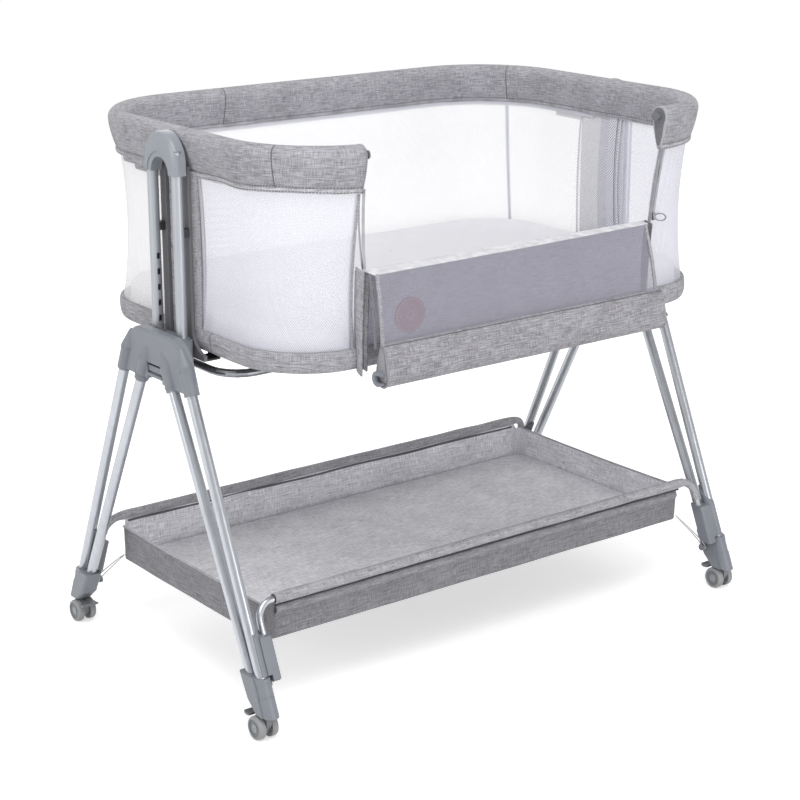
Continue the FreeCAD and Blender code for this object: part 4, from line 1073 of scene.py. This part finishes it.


# The two inner tapes use the darker linen copy: the shade behind the panel's edges is painted in.
edge_tape("left", RAIL_LEFT_X, 2.6, -0.6, plain_linen)
edge_tape("left_inner", RAIL_LEFT_X - 6.5, 1.6, 7.0, painted_shade_linen)
edge_tape("right", PANEL_RIGHT_X, 2.2, -0.6, plain_linen)
edge_tape("right_inner", PANEL_RIGHT_X + 5.5, 1.6, 4.0, painted_shade_linen)


def gusset(side, x, near, far, low, high, made):
    """A narrow folded strip that stands out from the wall's edge beside the hanging panel."""
    def point(u, v):
        z = low + (high - low) * v
        y = -depth_at(x, *wall_size(min(max(z, WALL_LOW), FOLD_Z))) - near - (far - near) * u
        return x + 1.6 * math.sin(3.0 * u + z * 0.017), y, z - 5.0 * u

    cloth("side_gusset_" + side, (6, 26), point, (far - near, high - low), made, thick=0.0022)


# The second left gusset and the right one use the darker linen copy, with painted shade.
gusset("left_1", -290.5, 2.0, 17.0, 508.0, 656.0, plain_linen)
gusset("left_2", -286.5, 3.0, 23.0, 516.0, 652.0, painted_shade_linen)
gusset("right", 252.0, 2.0, 14.0, 520.0, 652.0, painted_shade_linen)
print("hanging side ready")

# %% [markdown]
# ## The fold
# A strip of white cotton crosses from the fixed wall to the hanging panel. It is shaped across
# the fold, baked in place, and rides on neither body.


# %% Fold strip
def fold_point(u, v):
    x = -286.0 + 527.0 * u
    inner = -depth_at(x, *wall_size(FOLD_Z)) + 0.8
    outer = fold_y(x) - 0.6
    return x, inner + (outer - inner) * v, FOLD_Z + 0.8 * math.sin(math.pi * v) - 0.4 * v + crumple(x, v, 0.2)


fold_strip = flat_grid("fold_strip", (80, 6), fold_point, (527.0, 31.0))
thicken(fold_strip, 0.0012)
smooth(fold_strip)
fold_strip.data.materials.append(white_tape)
place_mm(0.0, -268.0, FOLD_Z)
place_mm(0.0, -290.0, FOLD_Z)
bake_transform(fold_strip)
print("fold strip ready")

# %% [markdown]
# ## The storage tray
# Linen hangs between the two long tubes. Each tube runs in a rolled sleeve, from which a low wall
# drops to a stiffened floor. The end walls have a thin bound top edge. The sleeves also cover the
# front tube's right bend and both bends of the back tube.

# %% Tray walls and floor
TRAY = (415.0, 207.0, 20.0)
TRAY_LOW, TRAY_HIGH = 114.0, 169.0
TUBE_Y, TUBE_Z = 213.0, 180.0
# The walls' inner faces get a much lighter copy of the linen, painted light against the crib's shade over the
# tray; the outer faces get a much darker copy, painted shade.
painted_light_tray_linen = linen("painted_light_tray_linen", (0.76, 0.752, 0.79), contrast=0.8)
painted_shade_outer_linen = linen("tray_outer_linen", (0.225, 0.222, 0.238), contrast=0.9)
tray_round = 2 * (TRAY[0] + TRAY[1]) * 2 - 8 * TRAY[2] + 2 * math.pi * TRAY[2]


def sag(y):
    """How far an end wall's top edge hangs, from nothing at the corners to one in the middle."""
    return math.cos(y / TRAY[1] * math.pi / 2)


def tray_wall_point(u, v):
    s = AROUND * u
    z = TRAY_LOW + 1.0 + (TRAY_HIGH - TRAY_LOW - 1.0) * v
    lean = -1.4 - 1.3 * (1 - v) ** 2 + crumple(s * 0.7, v, 1.2)
    x, y, nx, ny = walk(s, *grown(TRAY, lean))
    if abs(nx) > 0.9 and v > 0.5:
        z -= 5.0 * (v - 0.5) * sag(y)
    if abs(ny) > 0.9:
        z += 6.0 * v ** 2
        y += math.copysign(3.0 * v ** 2, y)
    return x, y, z


tray_walls = cloth("tray_walls", (300, 12), tray_wall_point, (tray_round, 55.0), painted_light_tray_linen, "basket_tray",
                   body="stand", sewn=True, thick=0.0022)
tray_walls.data.materials.append(painted_shade_outer_linen)
# Faces that look outwards take the darker copy: painted shade.
for face in tray_walls.data.polygons:
    place = face.center - place_mm(0.0, 0.0, 0.0)
    if face.normal.x * math.copysign(1.0, place.x) > 0.7 or face.normal.y * math.copysign(1.0, place.y) > 0.7:
        face.material_index = 1


def tray_floor_point(inset, z0, crown):
    def point(u, v):
        x = (TRAY[0] - inset) * (2 * u - 1)
        y = depth_at(x, TRAY[0] - inset, TRAY[1] - inset, TRAY[2]) * (2 * v - 1)
        edge = max(abs(2 * u - 1), abs(2 * v - 1))
        crease = 0.5 * math.sin((x + 1.4 * y) * 0.05) + 0.4 * math.sin((x - 1.1 * y) * 0.031)
        return x, y, z0 + crown * (1 - edge ** 6) + crease * (1 - edge ** 4)
    return point


tray_floor = cloth("tray_floor", (60, 32), tray_floor_point(3.2, TRAY_LOW + 1.6, -0.6), (826.0, 410.0),
                   linen("tray_floor_linen", (0.30, 0.296, 0.32)), body="stand", thick=0.0018)
# The board's cover is a much lighter copy of the linen: painted light against the crib's shade over the tray.
painted_light_pad_linen = linen("tray_pad_linen", (0.80, 0.792, 0.83), seams_v=(0.004, 0.398), contrast=0.75)
cloth("tray_floor_board_cover", (72, 40), tray_floor_point(5.2, TRAY_LOW + 5.6, 1.2), (820.0, 402.0),
      painted_light_pad_linen, "basket_board", body="stand", thick=0.0036)
print("tray walls and floor ready")

# %% [markdown]
# The roll follows its tube round one bend and gets thinner there. Under it hangs a narrow folded
# lip, and a near-black strand between them is painted shadow, which gives the dark line below the roll.

# %% Rolled sleeves and lips
LEG_SLOPE = (266.5 - 69.0) / (520.0 - 64.0)
BEND_R, BEND_X = 26.0, 433.0
ROLL_FROM, THIN_FROM_X = -403.0, 396.0
BEND_RUN = BEND_R * math.pi / 2


def roll_path(d, side, covered):
    """Centre, direction sign and size of the roll at d mm from its bare end."""
    x = ROLL_FROM + d
    turn = BEND_X - BEND_R
    lean = math.sqrt(1 + LEG_SLOPE ** 2)
    if x <= turn:
        centre, down, along = x, 0.0, (1.0, 0.0)
    elif x <= turn + BEND_RUN:
        a = (x - turn) / BEND_R
        centre, down = turn + BEND_R * math.sin(a), BEND_R * (1 - math.cos(a))
        along = (math.cos(a), math.sin(a))
    else:
        centre, down, along = BEND_X, BEND_R + x - turn - BEND_RUN, (0.0, 1.0)
    y = side * (TUBE_Y + down * LEG_SLOPE / lean)
    return covered * centre, y, TUBE_Z - down / lean, along


def roll_point(side, covered, length):
    def point(u, v):
        d = length * u
        x, y, z, along = roll_path(d, side, covered)
        bend = min(1.0, max(0.0, (ROLL_FROM + d - THIN_FROM_X) / 20.0))
        r = 7.9 - 1.8 * bend + crumple(d, v, 0.9 - 0.5 * bend)
        a = 2 * math.pi * v
        dy, dn = r * math.cos(a), r * math.sin(a)
        return x + covered * dn * along[1], y + side * dy, z + dn * along[0]
    return point


ROLL_LENGTH = 810.0 + BEND_RUN + 6.0
LIP_Y, LIP_TOP = 206.6, 173.0
SHADOW_STRIP_Y, SHADOW_STRIP_Z, SHADOW_STRIP_R = 212.6, 169.6, 1.7
roll_linen = linen("roll_linen", (0.38, 0.375, 0.40))
shadow_linen = linen("shadow_linen", (0.06, 0.06, 0.066))
# The lip's darker tone and the dark band of seam lines along its top are painted shade under the roll.
painted_shade_lip_linen = linen("painted_shade_lip_linen", (0.28, 0.277, 0.297), seams_v=(0.0255, 0.0240, 0.0225), stitches_v=(0.0030,))
for name, side, covered in (("front", -1.0, 1.0), ("back", 1.0, -1.0)):
    cloth("tray_roll_" + name, (120, 20), roll_point(side, covered, ROLL_LENGTH), (ROLL_LENGTH, 50.0),
          roll_linen, body="stand", sewn=True, thick=0.0012, offset=-1.0, angle=60.0)

    def lip_point(u, v, side=side):
        x = -398.0 + 796.0 * u
        drop = 22.0 * (1 - v)
        bulge = 7.0 * math.sin(math.pi * min(1.0, drop / 24.0)) ** 2
        return x, side * (LIP_Y + bulge + crumple(x, v, 0.8)), LIP_TOP - drop + 0.7 * math.sin(x * 0.03)

    cloth("tray_lip_" + name, (100, 8), lip_point, (796.0, 26.0), painted_shade_lip_linen, body="stand", thick=0.0016)

    # A near-black strand between the roll and the lip: painted shadow.
    def shadow_strip_point(u, v, side=side):
        a = 2 * math.pi * v
        y, z = SHADOW_STRIP_Y + SHADOW_STRIP_R * math.cos(a), SHADOW_STRIP_Z + SHADOW_STRIP_R * math.sin(a)
        return -400.0 + 802.0 * u, side * y, z

    cloth("tray_painted_shadow_" + name, (40, 10), shadow_strip_point, (802.0, 10.7), shadow_linen, body="stand",
          sewn=True, angle=70.0)
    print("roll", name)


def far_bend_point(u, v):
    """The last part of a roll along the back tube's other bend."""
    return roll_point(1.0, 1.0, ROLL_LENGTH)(0.94 + 0.06 * u, v)


cloth("tray_roll_back_end", (26, 20), far_bend_point, (52.0, 50.0), roll_linen, body="stand", sewn=True,
      thick=0.0012, offset=-1.0, angle=60.0)

# %% [markdown]
# The end walls' bound edges and the elastic ties to the feet are thin round strands, made from a
# curve whose thickness is turned into a mesh.


# %% Bound edges and ties
def strand(name, points, thick, body, slot, made, *nodes, closed=False):
    path = bpy.data.curves.new(name, "CURVE")
    path.dimensions = "3D"
    path.bevel_depth = thick
    path.bevel_resolution = 3
    path.resolution_u = 6
    line = path.splines.new("NURBS")
    line.points.add(len(points) - 1)
    for knot, point in zip(line.points, points):
        knot.co = (*place_mm(*point), 1.0)
    line.order_u = 3
    line.use_cyclic_u = closed
    line.use_endpoint_u = not closed
    path.use_fill_caps = not closed
    line_piece = bpy.data.objects.new(name, path)
    bpy.context.scene.collection.objects.link(line_piece)
    pick(line_piece)
    bpy.ops.object.convert(target="MESH")
    dress(bpy.context.object, body, slot, made, *nodes, angle=60.0)


for side, sign in (("left", -1.0), ("right", 1.0)):
    edge = []
    for k in range(-6, 7):
        y = 196.0 * k / 6
        edge.append((sign * 413.4, y, TRAY_HIGH - 2.2 * sag(y)))
    strand("tray_end_binding_" + side, edge, 0.0016, "stand", "linen", binding_tape)
    for end, back in (("front", -1.0), ("back", 1.0)):
        corner = (sign * 409.5, back * 201.5, TRAY_LOW + 4.0)
        knob = (sign * 437.0, back * 243.0, 69.0)
        loop = [corner, (sign * 428.0, back * 221.0, 92.0), (knob[0], back * 238.6, 71.5),
                (knob[0], back * 240.5, 64.5), (knob[0], back * 247.5, 66.0), (knob[0], back * 246.5, 73.5),
                (sign * 429.0, back * 229.0, 91.0), (sign * 411.0, back * 203.5, TRAY_LOW + 4.0)]
        strand("tray_tie_%s_%s" % (side, end), loop, 0.0009, "stand", "elastic", elastic_cord, "basket_ties",
               closed=True)
print("bindings and ties ready")

# %% [markdown]
# ## Caster wheels
# A caster wheel is turned, so it is made as on a lathe: half of its profile is spun round the axle.
# It has a rubber tread, a recessed face, a raised ring and a round cap. One wheel is made, and each
# caster gets its own copies.

# %% Spin one wheel
TREAD_SIDE = ((5.0, 0.4), (5.0, 4.0), (5.0, 15.6), (5.6, 16.9), (7.0, 17.5), (10.5, 17.6), (13.0, 17.5),
              (15.1, 16.6), (16.0, 15.0), (16.0, 13.4))
FACE_SIDE = ((15.6, 13.0), (14.3, 12.6), (14.0, 11.8), (14.3, 7.0), (15.1, 6.4), (15.5, 5.6), (15.5, 4.6),
             (15.1, 4.2), (15.2, 1.2), (14.6, 0.9), (14.6, 0.3))
PROFILE = TREAD_SIDE + FACE_SIDE
wheel = basic("caster_wheel_master", bpy.ops.mesh.primitive_circle_add, vertices=len(PROFILE), radius=1.0)
for vertex, (x, r) in zip(wheel.data.vertices, PROFILE):
    vertex.co = Vector((x, 0.0, r)) * 0.001
edit(wheel, lambda: bpy.ops.mesh.spin(steps=56, angle=2 * math.pi, center=(0, 0, 0), axis=(1, 0, 0)),
     lambda: bpy.ops.mesh.select_all(action="SELECT"),
     lambda: bpy.ops.mesh.remove_doubles(threshold=0.00002), outward)
for made in (warm_grey, tread_grey, cap_grey):
    wheel.data.materials.append(made)
TREAD_FROM, TREAD_IN, CAP_TO = 0.0128, 0.0056, 0.0062
for face in wheel.data.polygons:
    far = math.hypot(face.center.y, face.center.z)
    face.material_index = 1 if far > TREAD_FROM and face.center.x > TREAD_IN else 2 if far < CAP_TO else 0
print("wheel faces", len(wheel.data.polygons))

# %% [markdown]
# Each caster has two wheels on one axle. The copy is mirrored for the inner side, so its faces are
# turned right again afterwards.

# %% Copies on each caster
CASTER_X, AXLE_Y, AXLE_Z = 457.0, 262.0, 17.5
for corner in CORNERS:
    sx = -1.0 if corner.startswith("left") else 1.0
    sy = -1.0 if corner.endswith("front") else 1.0
    middle = place_mm(sx * CASTER_X, sy * AXLE_Y, AXLE_Z)
    for half, turn in (("outer", sx), ("inner", -sx)):
        copy = bpy.data.objects.new("wheel_%s_%s" % (corner, half), wheel.data.copy())
        bpy.context.scene.collection.objects.link(copy)
        for vertex in copy.data.vertices:
            vertex.co = Vector((vertex.co.x * turn, vertex.co.y, vertex.co.z)) + middle
        edit(copy, outward)
        smooth(copy, 35.0)
        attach(copy, "wheels_" + corner)
        if half == "outer":
            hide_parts("caster_wheels_" + corner)
    axle = basic("axle_" + corner, bpy.ops.mesh.primitive_cylinder_add, vertices=24, radius=0.0024,
                 depth=0.026)
    modify(axle, "BEVEL", width=0.0004, segments=2)
    for vertex in axle.data.vertices:
        vertex.co = Vector((vertex.co.z, vertex.co.y, vertex.co.x)) + middle
    edit(axle, outward)
    dress(axle, "wheels_" + corner, "bright_tube", bright_metal)
bpy.data.objects.remove(wheel)
print("wheels ready")

# %% [markdown]
# ## Floor, backdrop and light
# The photograph has a white ground with a soft shadow under the tray. The floor adds a little
# brightness of its own for the camera, so it reads as white while it still darkens in the shadow.

# %% Stage
floor = basic("pale_floor", bpy.ops.mesh.primitive_plane_add, size=60.0)
pale = Finish("pale_floor", 0.95)
FLOOR_GLOW = 0.48
seen = pale.ray("Camera").most(pale.ray("Glossy")).most(pale.ray("Transmission"))
pale.feed({"Base Color": (0.86, 0.86, 0.86, 1.0), "Specular IOR Level": 0.0, "Emission Strength": 1.0,
           "Emission Color": seen * FLOOR_GLOW})
floor.data.materials.append(pale.material)

SKY_LIGHT, SKY_SEEN = 0.60, 1.0
world = bpy.data.worlds.new("studio")
bpy.context.scene.world = world
sky = Web(world)
seen = sky.ray("Camera").most(sky.ray("Transmission"))
sky.set(sky.tree.nodes["Background"].inputs["Color"], seen * (SKY_SEEN - SKY_LIGHT) + SKY_LIGHT)


def lamp(name, place, target, size, power):
    bpy.ops.object.light_add(type="AREA", location=place)
    light = bpy.context.object
    light.name = name
    light.data.size = size
    light.data.energy = power
    light.rotation_euler = (Vector(target) - Vector(place)).to_track_quat("-Z", "Y").to_euler()


lamp("key_light", (-0.9, -1.3, 3.2), (0.0, 0.0, 0.5), 2.0, 50.0)
lamp("front_light", (0.3, -3.2, 0.6), (0.0, 0.0, 0.25), 1.4, 27.0)
lamp("left_light", (-3.2, 0.2, 1.3), (0.0, 0.0, 0.3), 1.2, 18.0)
lamp("back_light", (0.9, 2.8, 2.2), (0.0, 0.0, 0.4), 2.5, 26.0)
print("stage ready")

# %% [markdown]
# ## Finish
# The view layer is brought up to date.

# %% The end
bpy.context.view_layer.update()
